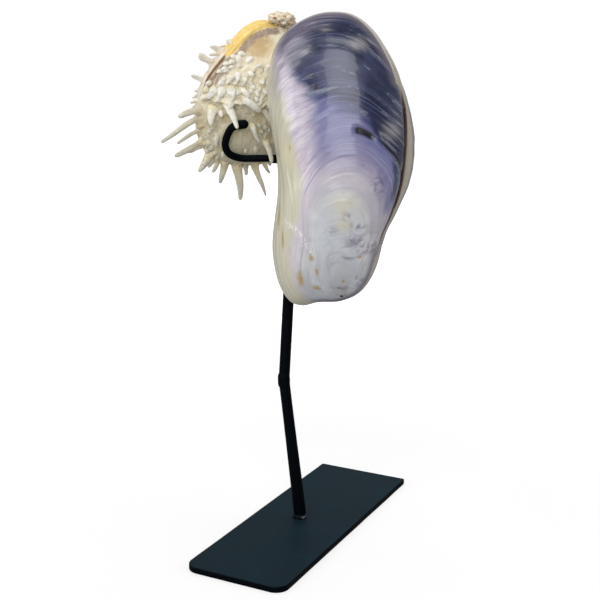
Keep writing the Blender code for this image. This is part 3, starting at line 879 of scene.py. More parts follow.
polish = mussel_finish("polished mussel")
for side, mesh in mussel_meshes.items():
    show(f"mussel_{side}", mesh, polish, f"mussel_{side}_valve", MUSSEL_FRAME)

# %% [markdown]
# ## The ligament
# A dark, dried strip of elastic tissue lies in the groove between the valves on the hinge side. It is a
# ribbon of uneven thickness, split along its length. Rings swept along the outline make it, and noise
# stretched along the strip gives the fibres.

# %% Ligament
LIGAMENT_RADIUS = 0.0006
LIGAMENT_RUN = (0.715, 0.84)      # shares of the way round the outline
LIGAMENT_LUMPS = 0.00006


def sweep(path, wide, thin, flat_way, around=16):
    """Oval rings along a path: wide across, thin along the direction flat_way."""
    ahead = unit(np.gradient(path, axis=0))
    lift = unit(flat_way - ahead * (flat_way * ahead).sum(-1)[:, None])
    sideways = np.cross(ahead, lift)
    angle = np.linspace(0, 2 * math.pi, around, endpoint=False)
    across = np.cos(angle)[None, :, None] * sideways[:, None] * np.reshape(wide, (-1, 1, 1))
    up = np.sin(angle)[None, :, None] * lift[:, None] * np.reshape(thin, (-1, 1, 1))
    return path[:, None] + across + up


def ligament_mesh():
    shares = np.linspace(*LIGAMENT_RUN, 120)
    margin = smooth_points(MUSSEL_OUTLINE, shares)
    along = unit(smooth_points(MUSSEL_OUTLINE, shares + 0.002) - margin)
    outwards = np.stack([along[:, 1], -along[:, 0]], 1)
    flat = margin + outwards * (LIGAMENT_RADIUS + GAP)
    path = np.concatenate([flat, np.zeros((len(flat), 1))], 1)
    t = np.linspace(0, 1, len(path))
    taper = np.sqrt(np.clip(np.sin(math.pi * np.clip(t, 0.004, 0.996)), 0, 1)) ** 0.6
    wide = LIGAMENT_RADIUS * taper * (1 + 0.16 * wander(path, 500, 2))
    rings = sweep(path, wide, wide * 0.92, np.tile((0.0, 0.0, 1.0), (len(path), 1)))
    rings += LIGAMENT_LUMPS * wander(rings, 1600, 3)[..., None] * unit(rings - path[:, None])
    return rings_mesh("ligament", rings)


def ligament_finish():
    made, tree, shader = new_material("dried ligament", 0.45, coat=0.2)
    place = local_place(tree)
    stretched = add(tree, "VectorMath", {0: place, 1: (2600.0, 220.0, 2600.0)}, operation="MULTIPLY")
    fibre = grain(tree, stretched.outputs[0], 1.0)
    colour = ramp(tree, fibre, [
        (0.3, shade(26, 14, 22)), (0.5, shade(58, 30, 38)), (0.7, shade(110, 66, 58)),
    ])
    tree.links.new(colour, shader.inputs["Base Color"])
    tree.links.new(plus(tree, times(tree, fibre, 0.4), 0.25), shader.inputs["Roughness"])
    raise_surface(tree, shader, fibre, 0.0001)
    return made


show("ligament", ligament_mesh(), ligament_finish(), "mussel_ligament", MUSSEL_FRAME)

# %% [markdown]
# ## The oyster's shape
# The spiny oyster has two unlike valves that meet at one outline, so both come from one class: it knows the
# outline, the dome over it and the surface point nearest to a flat place, which is where a spine's root
# stands. Each valve then adds its own swellings. Growth starts at the beak here too.

# %% Oyster sizes
OYSTER_FRAME = shell_frame((-0.0289, -0.0072, 0.2128), math.radians(54), math.radians(10))
OYSTER_WALL = 0.0030
OYSTER_MIDDLE = np.array((1.5, -1.0)) * MM
OYSTER_BEAK = np.array((7.0, 29.0)) * MM
OYSTER_OUTLINE = np.array([
    (5.6, 33), (-1, 31), (-9, 24.6), (-16.5, 17.5), (-23, 9), (-26.8, -1.5), (-27.4, -12.5), (-24.5, -23),
    (-18, -30.4), (-9, -33.7), (1, -34.2), (11, -32.6), (19.5, -27), (26, -18), (29.2, -7),
    (29.4, 5), (26.4, 16), (20.6, 25.5), (13.5, 31.8),
]) * MM
oyster_reach = Reach(OYSTER_OUTLINE, OYSTER_MIDDLE)


class OysterValve:
    depth = 0.0165
    fullness = 2.3
    side = 1

    def flat(self, stage, share):
        margin = smooth_points(OYSTER_OUTLINE, share)
        return OYSTER_BEAK + (margin - OYSTER_BEAK) * stage

    def surface(self, flat, stage=None):
        """Points of the outer surface over flat places, before the valve's side is applied."""
        arms = flat - OYSTER_MIDDLE
        ratio = np.minimum(lengths(arms) / oyster_reach(arms), 1)
        height = self.depth * np.sqrt(1 - ratio**self.fullness)
        return np.concatenate([flat, height[..., None]], -1)

    def grid(self, stages, shares):
        stage = np.broadcast_to(stages[:, None], (len(stages), len(shares)))
        flat = np.stack([self.flat(s, shares) for s in stages])
        return flat, stage, self.surface(flat, stage)

    def root(self, place):
        """The surface point nearest to a flat place, and the normal there."""
        arm = np.array(place) * MM - OYSTER_MIDDLE
        limit = oyster_reach(arm) * 0.985
        flat = OYSTER_MIDDLE + arm * min(1, limit / max(lengths(arm), 1e-9))
        step = 0.0002
        around = np.array([flat, flat + (step, 0), flat + (0, step)])
        here, right, up = self.surface(around)
        normal = unit(np.cross(right - here, up - here))
        return here * (1, 1, self.side), normal * (1, 1, self.side)


print("oyster outline:", np.round(np.ptp(OYSTER_OUTLINE, axis=0) / MM, 1), "mm")

# %% [markdown]
# ## The cemented valve's surface
# The valve towards the viewer was cemented to the mussel, so it is hollow near the beak, and it stopped
# growing once: a ledge that overhangs a little shows where it went on lower down. The ledge's crest is a
# curve across the valve, so every ray from the beak has to find its own crossing with it. Putting the last
# answer back into the curve's formula a few times comes close enough.

# %% Cemented surface
LEDGE_STAGE = 0.59
LEDGE_CREST = np.array((-12.0, -0.7)) * MM
LEDGE_FALL = 10.0                 # per metre: how fast the ledge falls away from its crest
LEDGE_DROP = 0.0030
LEDGE_OVERHANG = 0.0008
LEDGE_LIP = 0.0006
LEDGE_LIMIT = 0.90                # no ledge further out than this share of a ray
SECOND_LEDGE = 0.655              # the stage of a smaller step back
HOLLOW_PLACE = np.array((-3.5, 25)) * MM
HOLLOW_REACH = np.array((9, 7)) * MM
HOLLOW_DEPTH = 0.0042


class CementedValve(OysterValve):
    def ledge(self, ray):
        """How far along each ray from the beak the ledge lies, as a share."""
        share = np.ones(ray.shape[:-1])
        down = np.minimum(ray[..., 1], -0.010)
        for _ in range(8):
            across = OYSTER_BEAK[0] + ray[..., 0] * share - LEDGE_CREST[0]
            share = (LEDGE_CREST[1] - LEDGE_FALL * across**2 - OYSTER_BEAK[1]) / down
        return np.where(ray[..., 1] > -0.010, LEDGE_LIMIT, np.minimum(share, LEDGE_LIMIT))

    def flat(self, stage, share):
        ray = smooth_points(OYSTER_OUTLINE, share) - OYSTER_BEAK
        ledge = self.ledge(ray)
        wave = 0.014 * np.sin(share * 61) + 0.010 * np.sin(share * 137 + 2)
        ledge = (ledge + wave * soft_step(-ray[..., 1], 0.010, 0.025))[:, None]
        if stage < LEDGE_STAGE:
            return OYSTER_BEAK + ray * ledge * stage / LEDGE_STAGE
        return OYSTER_BEAK + ray * (ledge + (1 - ledge) * (stage - LEDGE_STAGE) / (1 - LEDGE_STAGE))

    def surface(self, flat, stage=None):
        point = super().surface(flat)
        inside = np.minimum(point[..., 2] / (0.35 * self.depth), 1)
        below = np.clip((-flat[..., 1] / MM + 12) / 8, 0, 1)
        away = (flat - HOLLOW_PLACE) / HOLLOW_REACH
        point[..., 2] -= HOLLOW_DEPTH * inside * np.exp(-(away**2).sum(-1))
        if stage is None:
            ray = flat - OYSTER_BEAK
            past = flat[..., 1] < LEDGE_CREST[1] - LEDGE_FALL * (flat[..., 0] - LEDGE_CREST[0]) ** 2
            point[..., 2] -= LEDGE_DROP * inside * below * past * (ray[..., 1] < 0)
            return point
        dropped = soft_step(stage, LEDGE_STAGE, LEDGE_STAGE + 0.004)
        second = 0.28 * soft_step(stage, SECOND_LEDGE - 0.002, SECOND_LEDGE + 0.002) - 0.28
        recover = 1 + second - 0.25 * soft_step(stage, LEDGE_STAGE + 0.10, 1.0)
        point[..., 2] -= LEDGE_DROP * inside * below * dropped * recover
        lip = np.exp(-(((stage - LEDGE_STAGE + 0.006) / 0.012) ** 2)) * (stage <= LEDGE_STAGE)
        outward = unit(flat - OYSTER_BEAK) * (LEDGE_OVERHANG * lip * below)[..., None]
        point[..., :2] += outward
        point[..., 2] += LEDGE_LIP * lip * below
        return point


share_down = CementedValve().ledge(np.array((0.0, -0.06)))
print("straight below the beak the ledge comes after", round(float(share_down), 2), "of the way")

# %% [markdown]
# ## The free valve's surface
# The other valve is deeper and fuller, and its swollen beak stands over the first valve near the hinge,
# where it can be seen from the front. The swelling is strongest half way up the dome and fades away from
# the beak, so that neither the margin nor the middle of the dome moves.

# %% Free surface
BEAK_REACH = 0.020
BEAK_SWELL = 0.0026


class FreeValve(OysterValve):
    depth = 0.0175
    fullness = 2.8
    side = -1

    def surface(self, flat, stage=None):
        """The dome with a swollen beak, which shows over the other valve near the hinge."""
        point = super().surface(flat)
        to_beak = lengths(flat - OYSTER_BEAK) / BEAK_REACH
        climb = np.sin(math.pi * np.minimum(point[..., 2] / (self.depth * 1.1), 1))
        swell = BEAK_SWELL * np.exp(-(to_beak**2)) * climb
        point[..., 0] -= swell * 0.8
        point[..., 1] += swell
        return point


print("depths of the two valves:", [round(v.depth / MM, 1) for v in (CementedValve, FreeValve)], "mm")

# %% [markdown]
# ## Spines
# A spine is a narrow fold of the shell's edge that kept growing. It starts wide where it leaves the rib,
# bends, has a trough on its underside and a few flutes along it, and ends in a blunt round tip. Each one is
# a swept row of oval rings along a bent path. A share along the spine is kept for each point, so that the
# finish can make its tip paler and leave dirt round its foot.

# %% Spine maker
SPINE_AROUND = 16
SPINE_LIFT = 0.30                 # how far along its length a spine starts straight out of the shell
SPINE_SHARES = np.concatenate([np.linspace(0, 0.84, 11), 1 - np.geomspace(0.11, 0.0015, 7)])


def add_tube(pile, path, size, flat_way, chance, tint, flatness):
    """Sweeps fluted oval rings with a trough below along a path and adds them to the pile."""
    t = SPINE_SHARES if len(path) == len(SPINE_SHARES) else np.linspace(0, 1, len(path))
    rings = sweep(path, size, size * flatness, np.tile(flat_way, (len(path), 1)), SPINE_AROUND)
    angle = np.linspace(0, 2 * math.pi, SPINE_AROUND, endpoint=False)
    flutes = 1 + 0.07 * np.cos(4 * angle + chance.uniform(0, 6))
    flutes -= 0.20 * np.exp(-(((angle - 1.5 * math.pi) / 0.6) ** 2))
    rings = path[:, None] + (rings - path[:, None]) * flutes[None, :, None]
    pile.add_rings(
        rings,
        spine=np.broadcast_to(t[:, None], rings.shape[:2]),
        groove=np.broadcast_to(angle[None, :], rings.shape[:2]),
        growth=chance.uniform(0.2, 1.0),
        across=chance.uniform(-1, 1),
        tint=tint,
    )


def add_spine(pile, start, normal, tip, chance, base, end, tint=0.0, bow=0.0):
    """One spine from its root to its tip, base and end being half widths in mm and bow its upward bend."""
    t = SPINE_SHARES
    length = float(lengths(tip - start))
    knee = start + normal * SPINE_LIFT * length
    sunk = start - normal * min(0.9 * MM, 0.3 * length)
    path = sunk * ((1 - t) ** 2)[:, None] + knee * (2 * t * (1 - t))[:, None] + tip * (t**2)[:, None]
    path[:, 1] += bow * MM * np.sin(math.pi * t)
    wobble = np.array([chance.uniform(-1, 1) for _ in range(3)]) * 0.03 * length
    path += wobble * np.sin(2 * math.pi * t)[:, None]
    size = (end + (base - end) * (1 - t**1.5)) * MM
    size *= 1 + 0.45 * np.exp(-((t / 0.12) ** 2)) + 0.04 * np.sin(t * chance.uniform(9, 15))
    from_tip = (1 - t) * length / (end * MM)
    size *= np.sqrt(np.clip(1 - np.clip(1 - from_tip, 0, 1) ** 2, 0.02, 1))
    flatness = chance.uniform(0.68, 0.85) + 0.15 * np.exp(-((t / 0.2) ** 2))
    add_tube(pile, path, size, normal + 1e-6, chance, tint, flatness)


print("rings along a spine:", len(SPINE_SHARES))

# %% [markdown]
# ## Nodules, rows and a curl
# Few spines are worth placing one by one. A nodule is a short spine between two places on the surface. A
# row follows one growth stage round the valve, with chance deciding the exact places and lengths. And one
# spine curled back on itself into a ring. All of them use the same tube, so they share one finish.

# %% Small spines
NODULE_RISE = 1.5                 # how far a nodule's tip stands above the surface (mm)
ROW_OVERHANG = 0.0016             # how far the spines of a row may stand out past the margin


def add_nodule(pile, valve, place, chance):
    """A short spine whose root and tip both stand over given flat places (mm)."""
    root_x, root_y, tip_x, tip_y, base, end, tint = place
    start, normal = valve.root((root_x, root_y))
    over, over_normal = valve.root((tip_x, tip_y))
    add_spine(pile, start, normal, over + over_normal * NODULE_RISE * MM, chance, base, end, tint)


def add_spine_row(pile, valve, row, chance, rise=(0.35, 0.8)):
    """Short spines along one growth stage, pointing away from the beak and ending near the margin."""
    stage, count, first, last, short, long, base, end, tint = row
    for i in range(count):
        share = first + (last - first) * (i + chance.uniform(0.15, 0.85)) / count
        flat = valve.flat(stage + chance.uniform(-0.02, 0.02), np.array([share]))[0]
        start, normal = valve.root(flat / MM)
        away = np.append(unit(flat - OYSTER_BEAK), 0.0)
        turn = np.array((-away[1], away[0], 0.0)) * chance.uniform(-0.3, 0.3)
        room = oyster_reach(flat - OYSTER_MIDDLE) - lengths(flat - OYSTER_MIDDLE) + ROW_OVERHANG
        reach = min(chance.uniform(short, long) * MM, float(room))
        tip = start + (away + turn) * reach + normal * reach * chance.uniform(*rise)
        wide = chance.uniform(0.8, 1.15)
        shift = chance.uniform(-0.1, 0.1)
        add_spine(pile, start, normal, tip, chance, base * wide, end * wide, tint + shift)


def add_curl(pile, valve, place, radius, chance):
    """A spine that curled back on itself into an open ring."""
    middle, normal = valve.root(place)
    angle = np.linspace(math.radians(-70), math.radians(215), len(SPINE_SHARES))
    ring = np.stack([np.cos(angle), np.sin(angle), 0.25 * np.sin(angle)], 1) * radius * MM
    path = middle + normal * 1.3 * MM + ring
    path[0] = middle + ring[0]
    path[-1] = middle + ring[-1]
    size = 0.75 * MM * np.sin(np.linspace(0.6, math.pi - 0.6, len(path)))
    add_tube(pile, path, size, normal + 1e-6, chance, 0.1, 0.9)


print("a row's spines stand out past the margin by at most", round(ROW_OVERHANG / MM, 1), "mm")

# %% [markdown]
# ## Where the cemented valve's spines stand
# The longest spines are placed one by one, where the real shell has them, because they make its outline. So
# are the blunt nodules round the ledge. Small spines between them follow the growth stages in rows, because
# there nobody could tell one from the next.

# %% Spine places
# Long spines: root, tip, half width at the root and at the tip, tint from white to tan, upward bow (mm)
CEMENTED_SPINES = [
    ((-27, -7.5), (-38, -10, 3), 1.9, 1.2, 0.6, 0.8),
    ((-26, -14), (-46, -21.5, 4), 1.8, 0.8, 0.6, 4.2),
    ((-26.5, -18.5), (-37.5, -22.5, 2.5), 1.1, 0.6, 0.6, 2.0),
    ((-25, -22.5), (-39, -28, 4), 2.0, 1.2, 0.6, 0.6),
    ((-21, -29), (-26, -36, 3), 2.6, 0.8, 0.7, 0),
    ((-16, -31.5), (-19, -36.5, 3), 1.5, 0.7, 0.7, 0),
    ((-12.5, -32), (-14.5, -42, 2.5), 2.2, 0.8, 0.9, 0),
    ((-6, -33), (-3.2, -50.6, 3), 2.6, 0.9, 0.7, 0),
    ((-1.5, -33.5), (-1, -38.5, 2.5), 1.2, 0.7, 0.6, 0),
    ((3.5, -33), (9.8, -48.6, 4), 1.9, 0.4, 0.6, -0.8),
    ((7.5, -32), (11.5, -37.5, 3), 1.4, 0.5, 0.6, 0),
    ((16, -28), (19.5, -36, 3), 1.8, 0.7, 0.6, 0),
    ((23, -20), (31, -24, 3), 1.8, 0.8, 0.6, 0),
    ((27.5, -10), (37, -13, 2.5), 1.8, 0.8, 0.5, 0.5),
    ((28.5, 2), (35.5, 3, 3), 1.7, 0.8, 0.4, 0),
    ((-17, -2), (-14.6, -12.1, 17.8), 2.3, 0.8, 0, 0),
    ((-11, 0.5), (-3.2, -4.4, 17), 2.1, 1.2, 0, 0.4),
    ((-22.8, -6.5), (-24.8, -12.4, 11), 2.7, 0.7, 0.1, 0),
    ((3.5, -20), (3.1, -27.7, 20.5), 1.7, 0.9, 0.3, 0),
]
# Blunt short spines: root, tip, half widths at the root and at the tip, tint
NODULES = [
    (-12, 17, -12.5, 18.5, 1.6, 0.9, 0), (-9, 17, -6, 18.5, 1.5, 0.9, 0),
    (-14.5, 16.5, -16, 14.5, 1.5, 0.8, 0.1), (-17.5, 12.5, -18.5, 11, 1.5, 0.8, 0.2),
    (-13.5, 11.5, -14, 8, 1.7, 0.9, 0), (-8.5, 12.5, -7, 11, 1.5, 0.8, 0),
    (-0.5, 15.5, 1, 15, 1.2, 1.0, 0), (-15.5, 10.5, -16.5, 8.5, 1.6, 0.8, 0.1),
    (-19, 9, -20, 6.5, 1.5, 0.8, 0.2), (-10.5, 10, -11.5, 7.5, 1.6, 0.8, 0.1),
    (-3.5, 9, -2.5, 8, 1.2, 0.7, 0), (-23, 3, -24.5, -1, 2.2, 0.8, 0), (-20, 4, -21, 0.5, 2.4, 0.9, 0),
    (-16.5, 4, -15.5, 1, 2.6, 1.0, 0), (-12, 5, -9, 2, 1.8, 0.8, 0), (-8, 7, -7, 5.5, 1.4, 0.8, 0),
    (-6, 4.5, -5, 2.5, 1.5, 0.7, 0), (-2, 5, -1, 3.5, 1.4, 0.7, 0),
    (-25.5, 0, -26.5, -2, 1.3, 0.7, 0.1), (-24, 6, -24.5, 4.5, 1.2, 0.6, 0.1),
    (0, -4, 5, -11, 1.7, 1.0, 0.2), (-19.5, -6.5, -19, -8.5, 1.5, 0.8, 0.1),
    (-5.5, -12, -0.5, -19.5, 1.6, 0.7, 0.1), (-2, -10.5, -1.5, -12.5, 1.2, 0.9, 1.2),
    (1, -11.5, 2, -13.5, 1.2, 0.9, 1.2), (3, -13, 4, -14.5, 1.2, 0.9, 1.2),
    (-0.5, -13.5, 0.5, -15.5, 1.2, 0.9, 1.2), (-22.5, -21, -22.5, -23.5, 1.7, 0.9, 0.6),
    (-21, -23, -21, -25.5, 1.7, 0.8, 0.6), (-22, -25, -22, -28, 1.7, 0.8, 0.7),
    (-15.5, -25.5, -15, -28, 1.3, 0.7, 0.4), (-20, -17, -19, -22.5, 1.2, 0.8, 0.3),
    (-1.5, -22.5, 0, -26, 1.3, 0.8, 0.5), (4.5, 2, 6.5, -1.5, 1.7, 0.9, 0), (3, 9, 5, 6.5, 1.6, 0.9, 0),
    (10, -2, 13, -6, 1.6, 0.9, 0.2),
]
# Rows of small spines: growth stage, count, stretch of the margin they face, shortest and longest (mm),
# half widths at the root and at the tip, tint
CEMENTED_ROWS = [
    (0.40, 8, 0.16, 0.50, 1.2, 2.0, 1.3, 0.6, 0.1), (0.47, 9, 0.14, 0.52, 1.4, 2.4, 1.4, 0.7, 0.0),
    (0.53, 10, 0.14, 0.54, 1.6, 2.8, 1.5, 0.7, 0.0), (0.58, 11, 0.16, 0.60, 1.8, 3.0, 1.6, 0.8, 0.0),
    (0.76, 5, 0.50, 0.72, 1.2, 2.2, 1.2, 0.6, 0.4), (0.88, 9, 0.34, 0.78, 1.0, 2.2, 1.2, 0.6, 0.5),
    (0.975, 16, 0.24, 0.80, 1.2, 2.6, 1.1, 0.5, 0.6),
]
print(len(CEMENTED_SPINES), "long spines,", len(NODULES), "nodules and", len(CEMENTED_ROWS), "rows")

# %% [markdown]
# ## The shell under the spines
# Ribs run from the beak to the margin, growth layers cross them, and noise of two sizes makes the surface
# chalky. The rings are crowded where the surface turns sharply, at the ledge and at the margin, so that
# those edges stay crisp without a finer mesh everywhere.

# %% Oyster shell
OYSTER_AROUND = 384
GOLD_RIM = 1.0                    # how far the golden beak reaches over the margin (mm)


def oyster_values(flat, stage, relief, valve):
    """The numbers that the shell's finish reads, for each outer point."""
    to_beak = lengths(flat - OYSTER_BEAK) / MM
    arms = flat - OYSTER_MIDDLE
    to_margin = (1 - lengths(arms) / oyster_reach(arms)) * oyster_reach(arms) / MM
    upper_left = soft_step(flat[..., 1] / MM, 0, 8) * (1 - soft_step(flat[..., 0] / MM, 6, 10))
    near = valve.side > 0
    at_beak = soft_step(flat[..., 1] / MM, 16, 20)
    inset = GOLD_RIM * at_beak * near
    rim = (1 - soft_step(to_margin, inset - 0.2, inset + 0.2)) * upper_left * at_beak * near
    hollow = np.exp(-(((flat - HOLLOW_PLACE) / HOLLOW_REACH) ** 2).sum(-1))
    return {
        "growth": stage,
        "across": np.arctan2(flat[..., 0] - OYSTER_BEAK[0], OYSTER_BEAK[1] - flat[..., 1]),
        "relief": relief / MM,
        "hollow": hollow * near * (1 - rim),
        "band": np.exp(-(((to_margin - inset - 1.5) / 1.7) ** 2)) * upper_left * near * (1 - rim),
        "seam": np.exp(-((to_margin / 0.3) ** 2)) * upper_left * near * (1 - at_beak),
        "yellow": np.maximum(np.exp(-((to_beak / 24.0) ** 4)) * (1 - near), rim),
        "low": (1 - soft_step(flat[..., 1] / MM, -7, 1)) * near,
    }


def oyster_rings(valve, stages, seed, rib_height):
    """Outer rings with ribs and growth layers, then the inside wall, with the numbers for the finish."""
    shares = np.linspace(0, 1, OYSTER_AROUND, endpoint=False)
    flat, stage, surface = valve.grid(stages, shares)
    across = np.arctan2(flat[..., 0] - OYSTER_BEAK[0], OYSTER_BEAK[1] - flat[..., 1])
    ribs = np.sin(across * 34 + 1.2 * wander(surface, 70, seed)) * 0.6 + np.sin(across * 73 + 1) * 0.4
    relief = rib_height * ribs * soft_step(stage, 0.2, 0.5) * (1 - soft_step(stage, 0.97, 1.0) * 0.7)
    layers = growth_relief(stage, seed, 70, (0.03 * MM, 0.16 * MM), (0.003, 0.010))
    relief += layers * soft_step(stage, 0.1, 0.3)
    relief += 0.34 * MM * wander(surface, 190, seed + 1, 3) + 0.12 * MM * wander(surface, 700, seed + 2)
    values = oyster_values(flat, stage, relief, valve)
    relief = relief * (1 - 0.8 * values["hollow"])
    outer = surface + grid_normals(surface) * relief[..., None]

    inner_stages = np.linspace(0.995, 0.12, 12)
    inner_flat, _, inner = valve.grid(inner_stages, shares)
    arms = inner_flat - OYSTER_MIDDLE
    inner[..., :2] = OYSTER_MIDDLE + arms * (1 - OYSTER_WALL / oyster_reach(arms))[..., None]
    inner[..., 2] = np.maximum(inner[..., 2] - OYSTER_WALL, 0)
    rings = np.concatenate([outer, inner])
    rings[..., 2] += GAP / 2
    rings[..., 2] *= valve.side
    pad = np.zeros(inner.shape[:2])
    return rings, {name: np.concatenate([value, pad]) for name, value in values.items()}


def close_stages(marks, count):
    """Stages from 0 to 1, crowded round the marks where the surface turns sharply."""
    stage = np.linspace(0.012, 1, 4000)
    density = np.ones(len(stage))
    for mark, extra, width in marks:
        density += extra * np.exp(-(((stage - mark) / width) ** 2))
    filled = np.cumsum(density)
    return np.interp(np.linspace(0, 1, count), (filled - filled[0]) / (filled[-1] - filled[0]), stage)


print("six stages, crowded at the margin:", close_stages([(1.0, 5, 0.03)], 6).round(2))

# %% [markdown]
# ## The spiny cemented valve
# A real valve grew its shell and spines together. Joining them with booleans would be slow and fragile, so
# every spine is sunk a little into the shell instead, and all of them go into one mesh. A random generator
# with a fixed seed makes the same shell each time.

# %% Cemented valve
def cemented_valve():
    valve = CementedValve()
    chance = random.Random(11)
    pile = Pile()
    marks = [(LEDGE_STAGE, 14, 0.008), (SECOND_LEDGE, 5, 0.008), (1.0, 5, 0.03)]
    stages = close_stages(marks, 150)
    rings, values = oyster_rings(valve, stages, 3, 0.17 * MM)
    pile.add_rings(rings, **values)
    for place, tip, base, end, tint, bow in CEMENTED_SPINES:
        start, normal = valve.root(place)
        add_spine(pile, start, normal, np.array(tip) * MM, chance, base, end, tint, bow)
    for place in NODULES:
        add_nodule(pile, valve, place, chance)
    for row in CEMENTED_ROWS:
        add_spine_row(pile, valve, row, chance)
    add_curl(pile, valve, (-4.8, 13.8), 1.9, chance)
    return pile.mesh("oyster_cemented")


cemented_mesh = cemented_valve()
print("cemented valve:", len(cemented_mesh.polygons), "faces")

# %% [markdown]
# ## The free valve
# The other valve grew freely, with spines all over in rows, and it is yellow to orange at the beak and white
# towards the margin. It faces away from the viewer, so its rows are denser: from behind it is what one sees.

# %% Free valve
# As for the other valve: long spines first, then the rows
FREE_SPINES = [
    ((-19.5, 13), (-26.8, 17.6, -4), 1.8, 1.5, 0.1, 0),
    ((-15, 18), (-21.4, 21.2, -4.4), 1.7, 1.3, 0, 0.4),
    ((-11, 22.5), (-13.6, 24.4, -4.6), 1.0, 0.5, 0, 0),
    ((-25, 6), (-30.4, 8, -3), 1.7, 0.6, 0, 0),
    ((-27, -4), (-30, -4.5, -3), 1.3, 0.6, 0.1, 0),
    ((-22, -25), (-28, -29, -6), 1.6, 0.8, 0.2, 0),
    ((-14, -31), (-17.5, -36.5, -6), 1.6, 0.8, 0.2, 0),
    ((2, -33.5), (3, -39, -5), 1.6, 0.8, 0.2, 0),
    ((13, -31), (15, -36, -5), 1.7, 0.9, 0.2, 0),
    ((22, -22), (30, -25.5, -4), 1.7, 0.9, 0.2, 0),
    ((28, -8), (36.5, -10, -4), 1.7, 0.9, 0.2, 0),
    ((28.5, 6), (36, 8.5, -4), 1.7, 0.9, 0.2, 0),
]
FREE_ROWS = [
    (0.36, 7, 0.14, 0.86, 1.0, 1.8, 1.0, 0.6, 0.1), (0.46, 9, 0.14, 0.86, 1.4, 2.6, 1.2, 0.6, 0.1),
    (0.57, 12, 0.14, 0.88, 2.0, 3.6, 1.4, 0.7, 0.1), (0.68, 14, 0.18, 0.88, 2.2, 4.2, 1.5, 0.7, 0.1),
    (0.80, 15, 0.24, 0.88, 2.0, 3.8, 1.4, 0.7, 0.1), (0.91, 16, 0.12, 0.88, 1.2, 2.2, 1.1, 0.6, 0.1),
]


def free_valve():
    valve = FreeValve()
    chance = random.Random(23)
    pile = Pile()
    stages = close_stages([(1.0, 5, 0.03)], 130)
    rings, values = oyster_rings(valve, stages, 8, 0.18 * MM)
    pile.add_rings(rings, **values)
    for place, tip, base, end, tint, bow in FREE_SPINES:
        start, normal = valve.root(place)
        add_spine(pile, start, normal, np.array(tip) * MM, chance, base, end, tint, bow)
    for row in FREE_ROWS:
        add_spine_row(pile, valve, row, chance, (0.4, 0.9))
    return pile.mesh("oyster_free")


free_mesh = free_valve()
print("free valve:", len(free_mesh.polygons), "faces")
